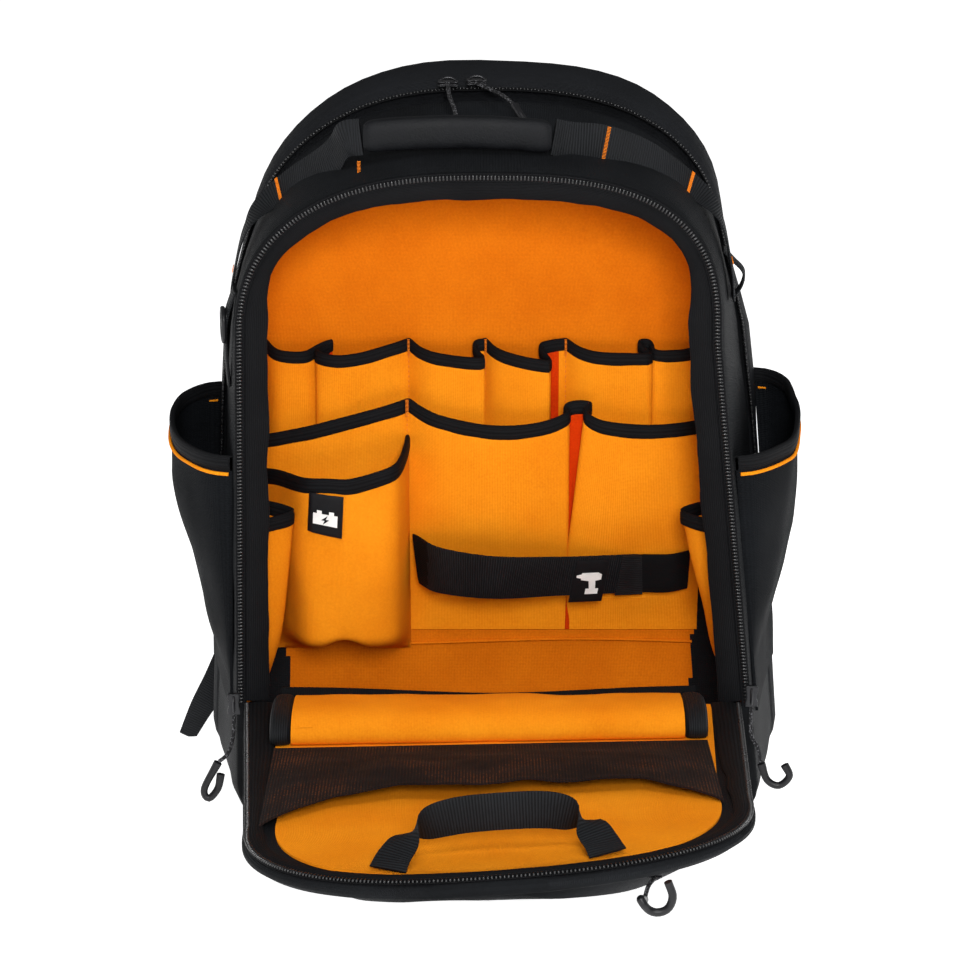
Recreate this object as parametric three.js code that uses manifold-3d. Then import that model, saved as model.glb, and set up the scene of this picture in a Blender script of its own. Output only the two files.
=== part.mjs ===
// A tool backpack with its front panel unzipped and folded forward.
// Millimetres, +Z up. The origin is on the floor, in the middle of the flat base.
// The opening faces -Y, the shoulder straps are at +Y.
import * as THREE from 'three';
import { mergeVertices } from 'three/addons/utils/BufferGeometryUtils.js';
import Module from 'manifold-3d';

const wasm = await Module();
wasm.setup();

// Driving dimensions
const GAP = 0.35;
const OPENING_Y = -75;
const DIVIDER_Y = 19;
const BACK_Y = 70;
const HINGE_Z = 80;
const SPRING_Z = 250;
const CORNER_R = 28;
const WALL = 3;
const LINING_WALL = 1.5;
const LEFT_POWER = 2.4;
const RIGHT_POWER = 2.6;
const COIL_WIDTH = 5;
const COIL_HEIGHT = 1.8;
const FACING_WIDTH = 12;
const FACING_WALL = 1.2;
const PANEL_LENGTH = 322;
const PANEL_THICKNESS = 8;
const PANEL_RISE_DEG = 6;
const PANEL_TWIST = 0.075;
const LIP_START = 12;
const LIP_END = 84;
const LIP_HEIGHT = 16;
const MESH_START = 90;
const LOOP_WIDTH = 20;
const WEB_THICKNESS = 1.6;
const FRONT_POCKET_DEPTH_LOW = 40;
const FRONT_POCKET_DEPTH_HIGH = 4;
const SIDE_POCKET_BULGE = 34;
const SIDE_POCKET_DEPTH = 116;
const SIDE_POCKET_LOW_Z = 72;
const SIDE_POCKET_FRONT_Z = 232;
const SIDE_POCKET_BACK_Z = 250;
const CLOTH = 1.6;
const BINDING = 10;
const BATTERY_DEPTH = 34;
const STRAP_WIDTH = 30;
const GRIP_LENGTH = 108;
const GRIP_HEIGHT = 19;
const GRIP_THICKNESS = 11;
const CORD_D = 2.4;
const PULL_D = 4.4;
const SHOULDER_WIDTH = 62;
const SHOULDER_THICKNESS = 12;
const PAD_THICKNESS = 12;

// A row for each slice of the body from front to back: half widths at the spring of the arch and at
// the base, height of the spring and the top, fullness of each side of the arch, and how far each
// shoulder is drawn in
const bodySections = [
  { y: OPENING_Y, left: 142, right: 140, baseLeft: 147, baseRight: 168, spring: 305, top: 406,
    leftPower: 2.45, rightPower: 2.9, leftShoulder: 0, rightShoulder: 0 },
  { y: -30, left: 147, right: 149, baseLeft: 156, baseRight: 175, spring: 290, top: 415,
    leftPower: 2.4, rightPower: 2.75, leftShoulder: 2, rightShoulder: 2 },
  { y: DIVIDER_Y, left: 153, right: 159, baseLeft: 165, baseRight: 184, spring: 270, top: 428,
    leftPower: 2.4, rightPower: 2.6, leftShoulder: 4, rightShoulder: 6 },
  { y: 34, left: 157, right: 166, baseLeft: 168, baseRight: 187, spring: 260, top: 439,
    leftPower: 2.4, rightPower: 2.6, leftShoulder: 6, rightShoulder: 8 },
  { y: 58, left: 160, right: 170, baseLeft: 168, baseRight: 188, spring: SPRING_Z, top: 446,
    leftPower: 2.4, rightPower: 2.6, leftShoulder: 7, rightShoulder: 10 },
  { y: BACK_Y, left: 156, right: 165, baseLeft: 163, baseRight: 182, spring: SPRING_Z, top: 441,
    leftPower: 2.4, rightPower: 2.6, leftShoulder: 7, rightShoulder: 10 },
];
const SHOULDER_Z = 335;
const SHOULDER_SPAN = 48;

// Front panel rim: half widths at the hinge and where the rounded end begins
const panelShape = { left0: 142, left1: 127, right0: 157, right1: 147, springLeft: 215, springRight: 205 };

const colours = {
  cloth: [0x1c1e21, 0.85, 0],
  ribbed: [0x202326, 0.8, 0],
  facing: [0x17181b, 0.9, 0],
  lining: [0xe8861a, 0.75, 0],
  liningDeep: [0xc8640f, 0.8, 0],
  mesh: [0x241b19, 0.9, 0],
  web: [0x15171a, 0.8, 0],
  coil: [0x0f1012, 0.5, 0],
  grip: [0x202125, 0.45, 0],
  metal: [0x2b2c2e, 0.35, 0.9],
  rubber: [0x18191b, 0.55, 0],
  cord: [0x2a2b2d, 0.8, 0],
  label: [0x141517, 0.6, 0],
};

const part = new THREE.Group();
part.name = 'tool_backpack';

function add(name, geometry, colour) {
  const [hex, roughness, metalness] = colours[colour];
  const material = new THREE.MeshStandardMaterial({ color: hex, roughness, metalness });
  material.name = name;
  const mesh = new THREE.Mesh(geometry, material);
  mesh.name = name;
  part.add(mesh);
  return mesh;
}

const lerp = (a, b, t) => a + (b - a) * t;
const clamp = (t, low = 0, high = 1) => Math.min(high, Math.max(low, t));
const smooth = (t) => clamp(t) * clamp(t) * (3 - 2 * clamp(t));
const v3 = (x, y, z) => new THREE.Vector3(x, y, z);

// Reads one column of a table between its rows
function column(table, key, value, name) {
  if (value <= table[0][key]) return table[0][name];
  for (let i = 1; i < table.length; i += 1) {
    const a = table[i - 1];
    const b = table[i];
    if (value <= b[key]) return lerp(a[name], b[name], (value - a[key]) / (b[key] - a[key]));
  }
  return table[table.length - 1][name];
}

function sectionAt(y) {
  const section = { y };
  for (const name of Object.keys(bodySections[0])) section[name] = column(bodySections, 'y', y, name);
  return section;
}

// Turns a triangle list into a geometry whose faces point outward
function solid(positions, triangles) {
  let volume = 0;
  const a = v3();
  const b = v3();
  const c = v3();
  for (const [i, j, k] of triangles) {
    a.copy(positions[i]);
    b.copy(positions[j]);
    c.copy(positions[k]);
    volume += a.dot(b.cross(c));
  }
  const flat = [];
  for (const p of positions) flat.push(p.x, p.y, p.z);
  const index = [];
  for (const [i, j, k] of triangles) {
    if (volume > 0) index.push(i, j, k);
    else index.push(i, k, j);
  }
  const geometry = new THREE.BufferGeometry();
  geometry.setAttribute('position', new THREE.Float32BufferAttribute(flat, 3));
  geometry.setIndex(index);
  geometry.computeVertexNormals();
  return geometry;
}

// Joins closed rings of equal count and closes both ends
function loft(rings) {
  const count = rings[0].length;
  const positions = rings.flat();
  const triangles = [];
  for (let r = 0; r + 1 < rings.length; r += 1) {
    for (let i = 0; i < count; i += 1) {
      const j = (i + 1) % count;
      const a = r * count + i;
      const b = r * count + j;
      triangles.push([a, b, b + count], [a, b + count, a + count]);
    }
  }
  for (const [r, flip] of [[0, true], [rings.length - 1, false]]) {
    const centre = v3();
    for (const p of rings[r]) centre.addScaledVector(p, 1 / count);
    const middle = positions.length;
    positions.push(centre);
    for (let i = 0; i < count; i += 1) {
      const a = r * count + i;
      const b = r * count + ((i + 1) % count);
      triangles.push(flip ? [b, a, middle] : [a, b, middle]);
    }
  }
  return solid(positions, triangles);
}

// A sheet with two faces: fn(u, v, side) gives a point, side 0 is the front and 1 the back
function sheet(nu, nv, fn) {
  const positions = [];
  const at = (i, j, side) => side * (nu + 1) * (nv + 1) + j * (nu + 1) + i;
  for (const side of [0, 1]) {
    for (let j = 0; j <= nv; j += 1) {
      for (let i = 0; i <= nu; i += 1) positions.push(fn(i / nu, j / nv, side));
    }
  }
  const triangles = [];
  const quad = (a, b, c, d) => triangles.push([a, b, c], [a, c, d]);
  for (let j = 0; j < nv; j += 1) {
    for (let i = 0; i < nu; i += 1) {
      quad(at(i, j, 0), at(i + 1, j, 0), at(i + 1, j + 1, 0), at(i, j + 1, 0));
      quad(at(i, j, 1), at(i, j + 1, 1), at(i + 1, j + 1, 1), at(i + 1, j, 1));
    }
  }
  for (let i = 0; i < nu; i += 1) {
    quad(at(i, 0, 0), at(i, 0, 1), at(i + 1, 0, 1), at(i + 1, 0, 0));
    quad(at(i, nv, 0), at(i + 1, nv, 0), at(i + 1, nv, 1), at(i, nv, 1));
  }
  for (let j = 0; j < nv; j += 1) {
    quad(at(0, j, 0), at(0, j + 1, 0), at(0, j + 1, 1), at(0, j, 1));
    quad(at(nu, j, 0), at(nu, j, 1), at(nu, j + 1, 1), at(nu, j + 1, 0));
  }
  return solid(positions, triangles);
}

// A band along a smooth path: each row gives a point and the direction across the band
function band(rows, width, thickness, steps) {
  const line = new THREE.CatmullRomCurve3(rows.map((r) => r.at), false, 'centripetal');
  const acrossLine = new THREE.CatmullRomCurve3(rows.map((r) => r.across), false, 'centripetal');
  const frames = [];
  for (let j = 0; j <= steps; j += 1) {
    const t = j / steps;
    const p = line.getPoint(t);
    const along = line.getTangent(t);
    const across = acrossLine.getPoint(t);
    across.addScaledVector(along, -across.dot(along)).normalize();
    const normal = along.clone().cross(across).normalize();
    frames.push({ p, across, normal });
  }
  return sheet(1, steps, (u, v, side) => {
    const f = frames[Math.round(v * steps)];
    const w = typeof width === 'function' ? width(v) : width;
    return f.p.clone().addScaledVector(f.across, (u - 0.5) * w).addScaledVector(f.normal, (side - 0.5) * thickness);
  });
}

function tube(points, diameter, steps, sides = 6) {
  const path = new THREE.CatmullRomCurve3(points.map((p) => v3(...p)), false, 'centripetal');
  const shape = new THREE.Shape();
  for (let i = 0; i < sides; i += 1) {
    const a = (i / sides) * Math.PI * 2;
    const x = Math.cos(a) * diameter / 2;
    const y = Math.sin(a) * diameter / 2;
    if (i === 0) shape.moveTo(x, y);
    else shape.lineTo(x, y);
  }
  const options = { steps, bevelEnabled: false, extrudePath: path, curveSegments: 1 };
  return new THREE.ExtrudeGeometry(shape, options);
}

function toManifold(geometry) {
  const clean = geometry.clone();
  clean.deleteAttribute('normal');
  clean.deleteAttribute('uv');
  const merged = mergeVertices(clean, 1e-4);
  const vertProperties = new Float32Array(merged.attributes.position.array);
  const triVerts = new Uint32Array(merged.index.array);
  return new wasm.Manifold(new wasm.Mesh({ numProp: 3, vertProperties, triVerts }));
}

function fromManifold(manifold) {
  const mesh = manifold.getMesh();
  const geometry = new THREE.BufferGeometry();
  geometry.setAttribute('position', new THREE.BufferAttribute(new Float32Array(mesh.vertProperties), 3));
  geometry.setIndex(new THREE.BufferAttribute(new Uint32Array(mesh.triVerts), 1));
  geometry.computeVertexNormals();
  return geometry;
}

function cut(geometry, ...tools) {
  let result = toManifold(geometry);
  for (const tool of tools) result = result.subtract(toManifold(tool));
  return fromManifold(result);
}

// Moves a closed or open 2-D line sideways by a distance that can change along it
function inset(points, distance, closed = true) {
  const n = points.length;
  return points.map((p, i) => {
    const before = closed ? points[(i + n - 1) % n] : points[Math.max(0, i - 1)];
    const after = closed ? points[(i + 1) % n] : points[Math.min(n - 1, i + 1)];
    const dx = after[0] - before[0];
    const dy = after[1] - before[1];
    const length = Math.hypot(dx, dy) || 1;
    const d = typeof distance === 'function' ? distance(i / (n - 1)) : distance;
    return [p[0] - (dy / length) * d, p[1] + (dx / length) * d];
  });
}

// Rounded end of an arch from the right side over the top to the left side
function cap(right, left, springRight, springLeft, top, powers = [RIGHT_POWER, LEFT_POWER], steps = 9) {
  const points = [];
  for (let i = 0; i <= steps; i += 1) {
    const a = (i / steps) * Math.PI / 2;
    const x = right * Math.cos(a) ** (2 / powers[0]);
    points.push([x, springRight + (top - springRight) * Math.sin(a) ** (2 / powers[0])]);
  }
  for (let i = 1; i <= steps; i += 1) {
    const a = (1 - i / steps) * Math.PI / 2;
    const x = -left * Math.cos(a) ** (2 / powers[1]);
    points.push([x, springLeft + (top - springLeft) * Math.sin(a) ** (2 / powers[1])]);
  }
  return points;
}

// Draws the shoulders of a slice in, most at SHOULDER_Z
function drawIn(section, x, z) {
  const share = Math.exp(-(((z - SHOULDER_Z) / SHOULDER_SPAN) ** 2)) * clamp(Math.abs(x) / 90);
  return x - Math.sign(x) * share * (x < 0 ? section.leftShoulder : section.rightShoulder);
}
function bodyArch(section, inward = 0) {
  const { left, right, spring, top, leftPower, rightPower } = section;
  const points = cap(right - inward, left - inward, spring, spring, top - inward, [rightPower, leftPower]);
  return points.map(([x, z]) => [drawIn(section, x, z), z]);
}

// Outline of the body in a slice, counterclockwise from the base
function bodyOutline(section, moved = 0) {
  const points = [];
  const cornerSteps = 3;
  for (let i = 0; i <= cornerSteps; i += 1) {
    const a = (i / cornerSteps) * Math.PI / 2;
    const x = section.baseRight - CORNER_R + Math.sin(a) * CORNER_R;
    points.push([x, CORNER_R - Math.cos(a) * CORNER_R]);
  }
  for (let i = 1; i < 5; i += 1) {
    const t = i / 5;
    const z = lerp(CORNER_R, section.spring, t);
    points.push([drawIn(section, lerp(section.baseRight, section.right, t), z), z]);
  }
  points.push(...bodyArch(section));
  for (let i = 4; i > 0; i -= 1) {
    const t = i / 5;
    const z = lerp(CORNER_R, section.spring, t);
    points.push([drawIn(section, -lerp(section.baseLeft, section.left, t), z), z]);
  }
  for (let i = cornerSteps; i >= 0; i -= 1) {
    const a = (i / cornerSteps) * Math.PI / 2;
    const x = section.baseLeft - CORNER_R + Math.sin(a) * CORNER_R;
    points.push([-x, CORNER_R - Math.cos(a) * CORNER_R]);
  }
  return moved ? inset(points, moved) : points;
}

const ringAt = (points, y) => points.map(([x, z]) => v3(x, y, z));
const bodyLoft = (ys, moved) => loft(ys.map((y) => ringAt(bodyOutline(sectionAt(y), moved), y)));

// Side of the body at a height, sign -1 is the left side and 1 the right side
function sideX(y, z, sign) {
  const s = sectionAt(y);
  const half = sign < 0 ? s.left : s.right;
  const base = sign < 0 ? s.baseLeft : s.baseRight;
  const power = sign < 0 ? s.leftPower : s.rightPower;
  if (z < s.spring) {
    return drawIn(s, sign * lerp(base, half, clamp((z - CORNER_R) / (s.spring - CORNER_R))), z);
  }
  const rise = clamp((z - s.spring) / (s.top - s.spring));
  return drawIn(s, sign * half * (1 - rise ** power) ** (1 / power), z);
}

// The opening line where the coil runs, from the right end over the top to the left end
function openingLine(lowZ = HINGE_Z) {
  const s = bodySections[0];
  const edge = COIL_WIDTH / 2 + 0.5;
  const points = [];
  for (let i = 0; i < 7; i += 1) {
    const z = lerp(lowZ, s.spring, i / 7);
    points.push([sideX(s.y, z, 1) - edge, z]);
  }
  points.push(...bodyArch(s, edge));
  for (let i = 6; i >= 0; i -= 1) {
    const z = lerp(lowZ, s.spring, i / 7);
    points.push([sideX(s.y, z, -1) + edge, z]);
  }
  return points;
}

// Main compartment
const holeLine = inset(openingLine(), COIL_WIDTH / 2 + 0.5, false);
const holeRing = (y) => ringAt(holeLine, y);
const cavityYs = [OPENING_Y + WALL, -30, DIVIDER_Y - WALL];
const outerYs = [OPENING_Y, -30, DIVIDER_Y];
const gusset = cut(
  bodyLoft(outerYs, 0),
  bodyLoft(cavityYs, WALL),
  loft([holeRing(OPENING_Y - 5), holeRing(OPENING_Y + WALL + 1)]),
);
add('main_compartment', gusset, 'cloth');

const liningFront = OPENING_Y + WALL + 4;
const liningYs = [liningFront, -30, DIVIDER_Y - WALL - GAP];
const liningInnerYs = [liningFront - 1, -30, DIVIDER_Y - WALL - GAP - LINING_WALL];
const lining = cut(bodyLoft(liningYs, WALL + GAP), bodyLoft(liningInnerYs, WALL + GAP + LINING_WALL));
add('lining', lining, 'lining');
const WALL_Y = DIVIDER_Y - WALL - GAP - LINING_WALL - GAP;

// Coil half and facing strip of the body, both follow the opening line
function strip(line, from, to, y0, y1) {
  const a = inset(line, from, false);
  const b = inset(line, to, false);
  return sheet(1, line.length - 1, (u, v, side) => {
    const i = Math.round(v * (line.length - 1));
    const p = u < 0.5 ? a[i] : b[i];
    const depth = u < 0.5 ? y0 : y1;
    return v3(p[0], depth[side], p[1]);
  });
}
const coilFrontY = OPENING_Y - GAP;
const bodyLine = openingLine(HINGE_Z + 3);
const coilDepth = [coilFrontY - COIL_HEIGHT, coilFrontY];
add('body_zip', strip(bodyLine, -COIL_WIDTH / 2, COIL_WIDTH / 2, coilDepth, coilDepth), 'coil');
const facingFrom = COIL_WIDTH / 2 + 0.5 + GAP;
const facingFront = [OPENING_Y, OPENING_Y + FACING_WALL];
const facingBack = [OPENING_Y + 3, OPENING_Y + 3 + FACING_WALL];
add('opening_facing', strip(bodyLine, facingFrom, facingFrom + FACING_WIDTH, facingFront, facingBack), 'facing');

// Rear compartment with its closed zip
const rearYs = [DIVIDER_Y + GAP, 34, 48, 58, 66, BACK_Y];
add('rear_compartment', bodyLoft(rearYs, 0), 'ribbed');
const rearZipY = 24;
function archRing(section, moved, lowZ) {
  const points = bodyOutline(section, moved);
  return points.filter(([, z]) => z > lowZ);
}
const rearLine = archRing(sectionAt(rearZipY + COIL_WIDTH / 2), 0, 92);
const rearA = inset(rearLine, -GAP, false);
const rearB = inset(rearLine, -GAP - COIL_HEIGHT, false);
add('rear_zip', sheet(1, rearLine.length - 1, (u, v, side) => {
  const i = Math.round(v * (rearLine.length - 1));
  const p = side ? rearA[i] : rearB[i];
  return v3(p[0], rearZipY + (u - 0.5) * COIL_WIDTH, p[1]);
}), 'coil');

// Front panel frame: x across, s out from the hinge, h up from the rim plane
const rise = THREE.MathUtils.degToRad(PANEL_RISE_DEG);
function onPanel(x, s, h) {
  const y = OPENING_Y - 1 - s * Math.cos(rise) + h * Math.sin(rise);
  const z = HINGE_Z + s * Math.sin(rise) + h * Math.cos(rise) + PANEL_TWIST * x * s / PANEL_LENGTH;
  return v3(x, y, z);
}
function panelHalf(s, sign) {
  const p = panelShape;
  if (sign < 0) return lerp(p.left0, p.left1, clamp(s / p.springLeft));
  return lerp(p.right0, p.right1, clamp(s / p.springRight));
}
function panelLine() {
  const p = panelShape;
  const points = [];
  for (let i = 0; i < 6; i += 1) {
    const s = p.springRight * i / 6;
    points.push([panelHalf(s, 1), s]);
  }
  points.push(...cap(p.right1, p.left1, p.springRight, p.springLeft, PANEL_LENGTH));
  for (let i = 5; i >= 0; i -= 1) {
    const s = p.springLeft * i / 6;
    points.push([-panelHalf(s, -1), s]);
  }
  return points;
}
const rimLine = panelLine();

// Half width of the panel at a distance from the hinge, rounded end included
function panelEdge(s, sign) {
  const spring = sign < 0 ? panelShape.springLeft : panelShape.springRight;
  const power = sign < 0 ? LEFT_POWER : RIGHT_POWER;
  const t = clamp((s - spring) / (PANEL_LENGTH - spring), 0, 1);
  return sign * panelHalf(s, sign) * (1 - t ** power) ** (1 / power);
}

// A plate on the panel: moved(v) is its distance from the rim, h(u, v, side) its two faces
function panelPlate(moved, start, h) {
  const nv = 14;
  return sheet(7, nv, (u, v, side) => {
    const away = moved(v);
    const s = lerp(start, PANEL_LENGTH * 0.997, Math.sin(v * Math.PI / 2) ** 0.9);
    const end = lerp(s, s - away, clamp((s - start) / (PANEL_LENGTH - start)) ** 2);
    const left = Math.min(panelEdge(s, -1) + away, -6);
    const right = Math.max(panelEdge(s, 1) - away, 6);
    return onPanel(lerp(left, right, u), end, h(u, v, side));
  });
}
add('front_panel', panelPlate(() => 0, 0, (u, v, side) => (side ? 0 : -PANEL_THICKNESS)), 'cloth');

function panelStrip(from, to, h0, h1) {
  const a = inset(rimLine, from, false);
  const b = inset(rimLine, to, false);
  const last = rimLine.length - 1;
  return sheet(1, last, (u, v, side) => {
    const i = Math.round(v * last);
    const p = u < 0.5 ? a[i] : b[i];
    return onPanel(p[0], Math.max(p[1], 0.5), side ? h0 : h1);
  });
}
add('panel_zip', panelStrip(1, 1 + COIL_WIDTH, GAP, GAP + COIL_HEIGHT), 'coil');
const farEnd = (t) => smooth((0.5 - Math.abs(t - 0.5)) / 0.34);
const facingInner = (t) => 1 + COIL_WIDTH + GAP + lerp(13, 5, farEnd(t));
add('panel_facing', panelStrip(1 + COIL_WIDTH + GAP, facingInner, GAP, GAP + FACING_WALL), 'facing');
const liningAway = (v) => 1 + COIL_WIDTH + 2 * GAP + lerp(14, 6.5, smooth((v - 0.35) * 2));
add('panel_lining', panelPlate(liningAway, 1, (u, v, side) => GAP + (side ? 0 : FACING_WALL)), 'lining');
const TOP_H = GAP + FACING_WALL + GAP;

// Padded lip pocket across the hinge end of the panel
const lipProfile = [
  { s: 0, h: 0 }, { s: 0.02, h: 0.35 }, { s: 0.2, h: 0.72 }, { s: 0.45, h: 0.94 },
  { s: 0.68, h: 1 }, { s: 0.86, h: 0.86 }, { s: 0.97, h: 0.55 }, { s: 1, h: 0.2 }, { s: 0.985, h: 0 },
];
function lipRing(x, grow = 0) {
  return lipProfile.map((p) => {
    const s = lerp(LIP_START - grow, LIP_END + grow, p.s);
    return onPanel(x, s, TOP_H + p.h * (LIP_HEIGHT + grow));
  });
}
const lipXs = [-109, -70, -25, 25, 75, 118];
add('lip_pocket', loft(lipXs.map((x) => lipRing(x))), 'lining');
add('lip_end_left', loft([-121, -118, -109 - GAP].map((x) => lipRing(x, 0.6))), 'web');
add('lip_end_right', loft([118 + GAP, 127, 131].map((x) => lipRing(x, 0.6))), 'web');
add('lip_binding', sheet(12, 1, (u, v, side) => {
  const x = lerp(-118, 128, u);
  const sag = 3 * Math.sin(Math.PI * u);
  return onPanel(x, LIP_START - 2.2 + side * 1.6, TOP_H + 4 - sag + v * 9);
}), 'web');

// Mesh pocket of the panel with a wavy open edge
const meshEdge = [
  { x: -122, s: 212 }, { x: -104, s: 202 }, { x: -81, s: 188 }, { x: -44, s: 181 }, { x: 0, s: 190 },
  { x: 33, s: 185 }, { x: 88, s: 180 }, { x: 114, s: 197 }, { x: 136, s: 212 },
];
add('mesh_pocket', sheet(16, 6, (u, v, side) => {
  const x = lerp(-118, 130, u);
  const s = lerp(MESH_START, column(meshEdge, 'x', x, 's'), v);
  const swell = 9 * Math.sin(Math.PI * clamp(u)) ** 0.5 * smooth(v * 1.4);
  return onPanel(x, s, TOP_H + swell + (side ? 0 : CLOTH));
}), 'mesh');

// Webbing loop that stands at the far end of the panel
const loopRows = [
  { x: -47, s: 303, h: 3.6, ax: 0.96, ah: 0.1 },
  { x: -43, s: 295, h: 9, ax: 0.9, ah: 0.35 },
  { x: -32, s: 285, h: 18, ax: 0.5, ah: 0.8 },
  { x: -14, s: 280, h: 22, ax: 0.1, ah: 1 },
  { x: 14, s: 279, h: 23, ax: 0, ah: 1 },
  { x: 40, s: 280, h: 22, ax: -0.1, ah: 1 },
  { x: 56, s: 282, h: 17, ax: -0.5, ah: 0.8 },
  { x: 64, s: 286, h: 9, ax: -0.9, ah: 0.35 },
  { x: 67, s: 290, h: 5.2, ax: -0.97, ah: 0.05 },
];
add('panel_loop', band(loopRows.map((r) => ({
  at: onPanel(r.x, r.s, r.h),
  across: onPanel(r.x + r.ax, r.s, r.h + r.ah).sub(onPanel(r.x, r.s, r.h)),
})), LOOP_WIDTH, WEB_THICKNESS, 20), 'web');

// Outer pocket under the panel, deep at the hinge end
const onlyUnder = (side, depth) => -PANEL_THICKNESS - GAP - (side ? 0 : depth);
add('front_pocket', panelPlate(() => 24, 14, (u, v, side) => {
  const depth = lerp(FRONT_POCKET_DEPTH_LOW, FRONT_POCKET_DEPTH_HIGH, v);
  const edge = Math.min(1, 0.35 + 5 * Math.min(u, 1 - u, v, (1 - v) * 1.5));
  return onlyUnder(side, depth * edge);
}), 'cloth');
const frontZipLine = inset(rimLine, 17, false).filter(([, s]) => s > 225);
const frontZipA = inset(frontZipLine, -COIL_WIDTH / 2, false);
const frontZipB = inset(frontZipLine, COIL_WIDTH / 2, false);
add('front_pocket_zip', sheet(1, frontZipLine.length - 1, (u, v, side) => {
  const i = Math.round(v * (frontZipLine.length - 1));
  const p = u < 0.5 ? frontZipA[i] : frontZipB[i];
  return onPanel(p[0], p[1], -PANEL_THICKNESS - GAP - side * COIL_HEIGHT);
}), 'coil');

// Side pockets: their mouth drops from the back to the front
function sidePocket(sign, low, high, grow, thickness) {
  const y0 = OPENING_Y + 12;
  return sheet(12, high - low > 0.5 ? 6 : 1, (u, v, side) => {
    const y = y0 + SIDE_POCKET_DEPTH * u;
    const mouth = lerp(SIDE_POCKET_FRONT_Z, SIDE_POCKET_BACK_Z, smooth((u - 0.25) / 0.75));
    const w = lerp(low, high, v);
    const z = lerp(SIDE_POCKET_LOW_Z, mouth, w);
    const belly = Math.sin(Math.PI * clamp(u, 0, 1)) ** 0.55;
    const bulge = SIDE_POCKET_BULGE * belly * (0.18 + 0.82 * w ** 0.8) * smooth(w * 5);
    const x = Math.abs(sideX(y, z, sign)) + GAP + 0.3 + bulge + grow + (side ? 0 : thickness);
    return v3(sign * x, y, z);
  });
}
for (const [sign, word] of [[-1, 'left'], [1, 'right']]) {
  add(`side_pocket_${word}`, sidePocket(sign, 0, 1, 0, CLOTH), 'cloth');
  add(`side_pocket_binding_${word}`, sidePocket(sign, 0.915, 1, CLOTH + GAP * 2, 1.2), 'web');
  add(`side_pocket_piping_${word}`, sidePocket(sign, 0.885, 0.908, CLOTH + GAP * 2, 1.6), 'lining');
}

// Cloth pockets on the back wall, in layers from the wall to the opening
const upperPockets = [
  { x0: -127, x1: -104, bulge: 9 }, { x0: -97, x1: -44, bulge: 12 }, { x0: -43, x1: 3, bulge: 11 },
  { x0: 4, x1: 51, bulge: 10 }, { x0: 52, x1: 103, bulge: 12 }, { x0: 106, x1: 133, bulge: 9 },
];
function upperBulge(x) {
  const row = upperPockets.find((p) => x >= p.x0 && x <= p.x1);
  if (!row) return 0;
  return row.bulge * Math.sin(Math.PI * (x - row.x0) / (row.x1 - row.x0)) ** 0.7;
}
const UPPER_TOP = 283;
const UPPER_LOW = 118;
function upperRow(z0, z1, grow, thickness) {
  return sheet(36, z1 - z0 > 40 ? 3 : 1, (u, v, side) => {
    const x = lerp(-127, 133, u);
    const z = lerp(z0, z1, v);
    const open = smooth((z - UPPER_LOW) / (UPPER_TOP - UPPER_LOW) * 1.3);
    return v3(x, WALL_Y - grow - upperBulge(x) * open - (side ? 0 : thickness), z);
  });
}
add('upper_pockets', upperRow(UPPER_LOW, UPPER_TOP, 0, CLOTH), 'lining');
add('upper_binding', upperRow(UPPER_TOP - BINDING, UPPER_TOP + 1, CLOTH + GAP, 1.2), 'web');

const lowerEdge = [
  { x: -134, z: 227, bulge: 0 }, { x: -115, z: 231, bulge: 6 }, { x: -80, z: 241, bulge: 10 },
  { x: -50, z: 250, bulge: 6 }, { x: -43, z: 248, bulge: 0 }, { x: -20, z: 239, bulge: 10 },
  { x: 0, z: 236, bulge: 13 }, { x: 30, z: 237, bulge: 10 }, { x: 46, z: 240, bulge: 4 },
  { x: 60, z: 245, bulge: 0 }, { x: 72, z: 240, bulge: 5 }, { x: 100, z: 236, bulge: 11 },
  { x: 125, z: 237, bulge: 7 }, { x: 135, z: 236, bulge: 0 },
];
const LOWER_LOW = 96;
const lowerBase = 17;
function lowerBack(x, w) {
  const swell = column(lowerEdge, 'x', x, 'bulge') * smooth(w * 1.2);
  return WALL_Y - lowerBase * smooth(w * 1.6) - swell;
}
function lowerRow(low, high, grow, thickness) {
  return sheet(32, low ? 1 : 4, (u, v, side) => {
    const x = lerp(-132, 134, u);
    const w = lerp(low, high, v);
    const z = lerp(LOWER_LOW, column(lowerEdge, 'x', x, 'z'), w);
    return v3(x, lowerBack(x, w) - grow - (side ? 0 : thickness), z);
  });
}
function lowerFront(x, z) {
  const w = (z - LOWER_LOW) / (column(lowerEdge, 'x', x, 'z') - LOWER_LOW);
  return lowerBack(x, w) - CLOTH;
}
add('lower_pockets', lowerRow(0, 1, 0, CLOTH), 'lining');
add('lower_binding', lowerRow(0.925, 1.008, CLOTH + GAP, 1.2), 'web');

// Battery pouch in front of the lower pockets, with its binding and label
const pouchTop = [
  { x: -131, z: 210 }, { x: -110, z: 214 }, { x: -85, z: 213 }, { x: -68, z: 213 },
  { x: -55, z: 214 }, { x: -46, z: 212 },
];
const POUCH_LOW = 85;
const pouchDepth = [
  { x: -129, d: 0 }, { x: -123, d: 0.2 }, { x: -115, d: 0.52 }, { x: -107, d: 0.84 }, { x: -100, d: 0.97 },
  { x: -90, d: 1 }, { x: -79, d: 1 }, { x: -67, d: 1 }, { x: -57, d: 0.98 }, { x: -51, d: 0.86 },
  { x: -48, d: 0.5 }, { x: -46, d: 0 },
];
function pouchFront(x, w) {
  const z = lerp(POUCH_LOW, column(pouchTop, 'x', x, 'z'), w);
  const share = column(pouchDepth, 'x', x, 'd') * (0.02 + 0.98 * smooth(w * 5) ** 0.7);
  const seat = GAP + 0.95;
  return v3(x, lerp(lowerFront(x, z), lowerFront(x, 190) - BATTERY_DEPTH, share) - seat, z);
}
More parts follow.
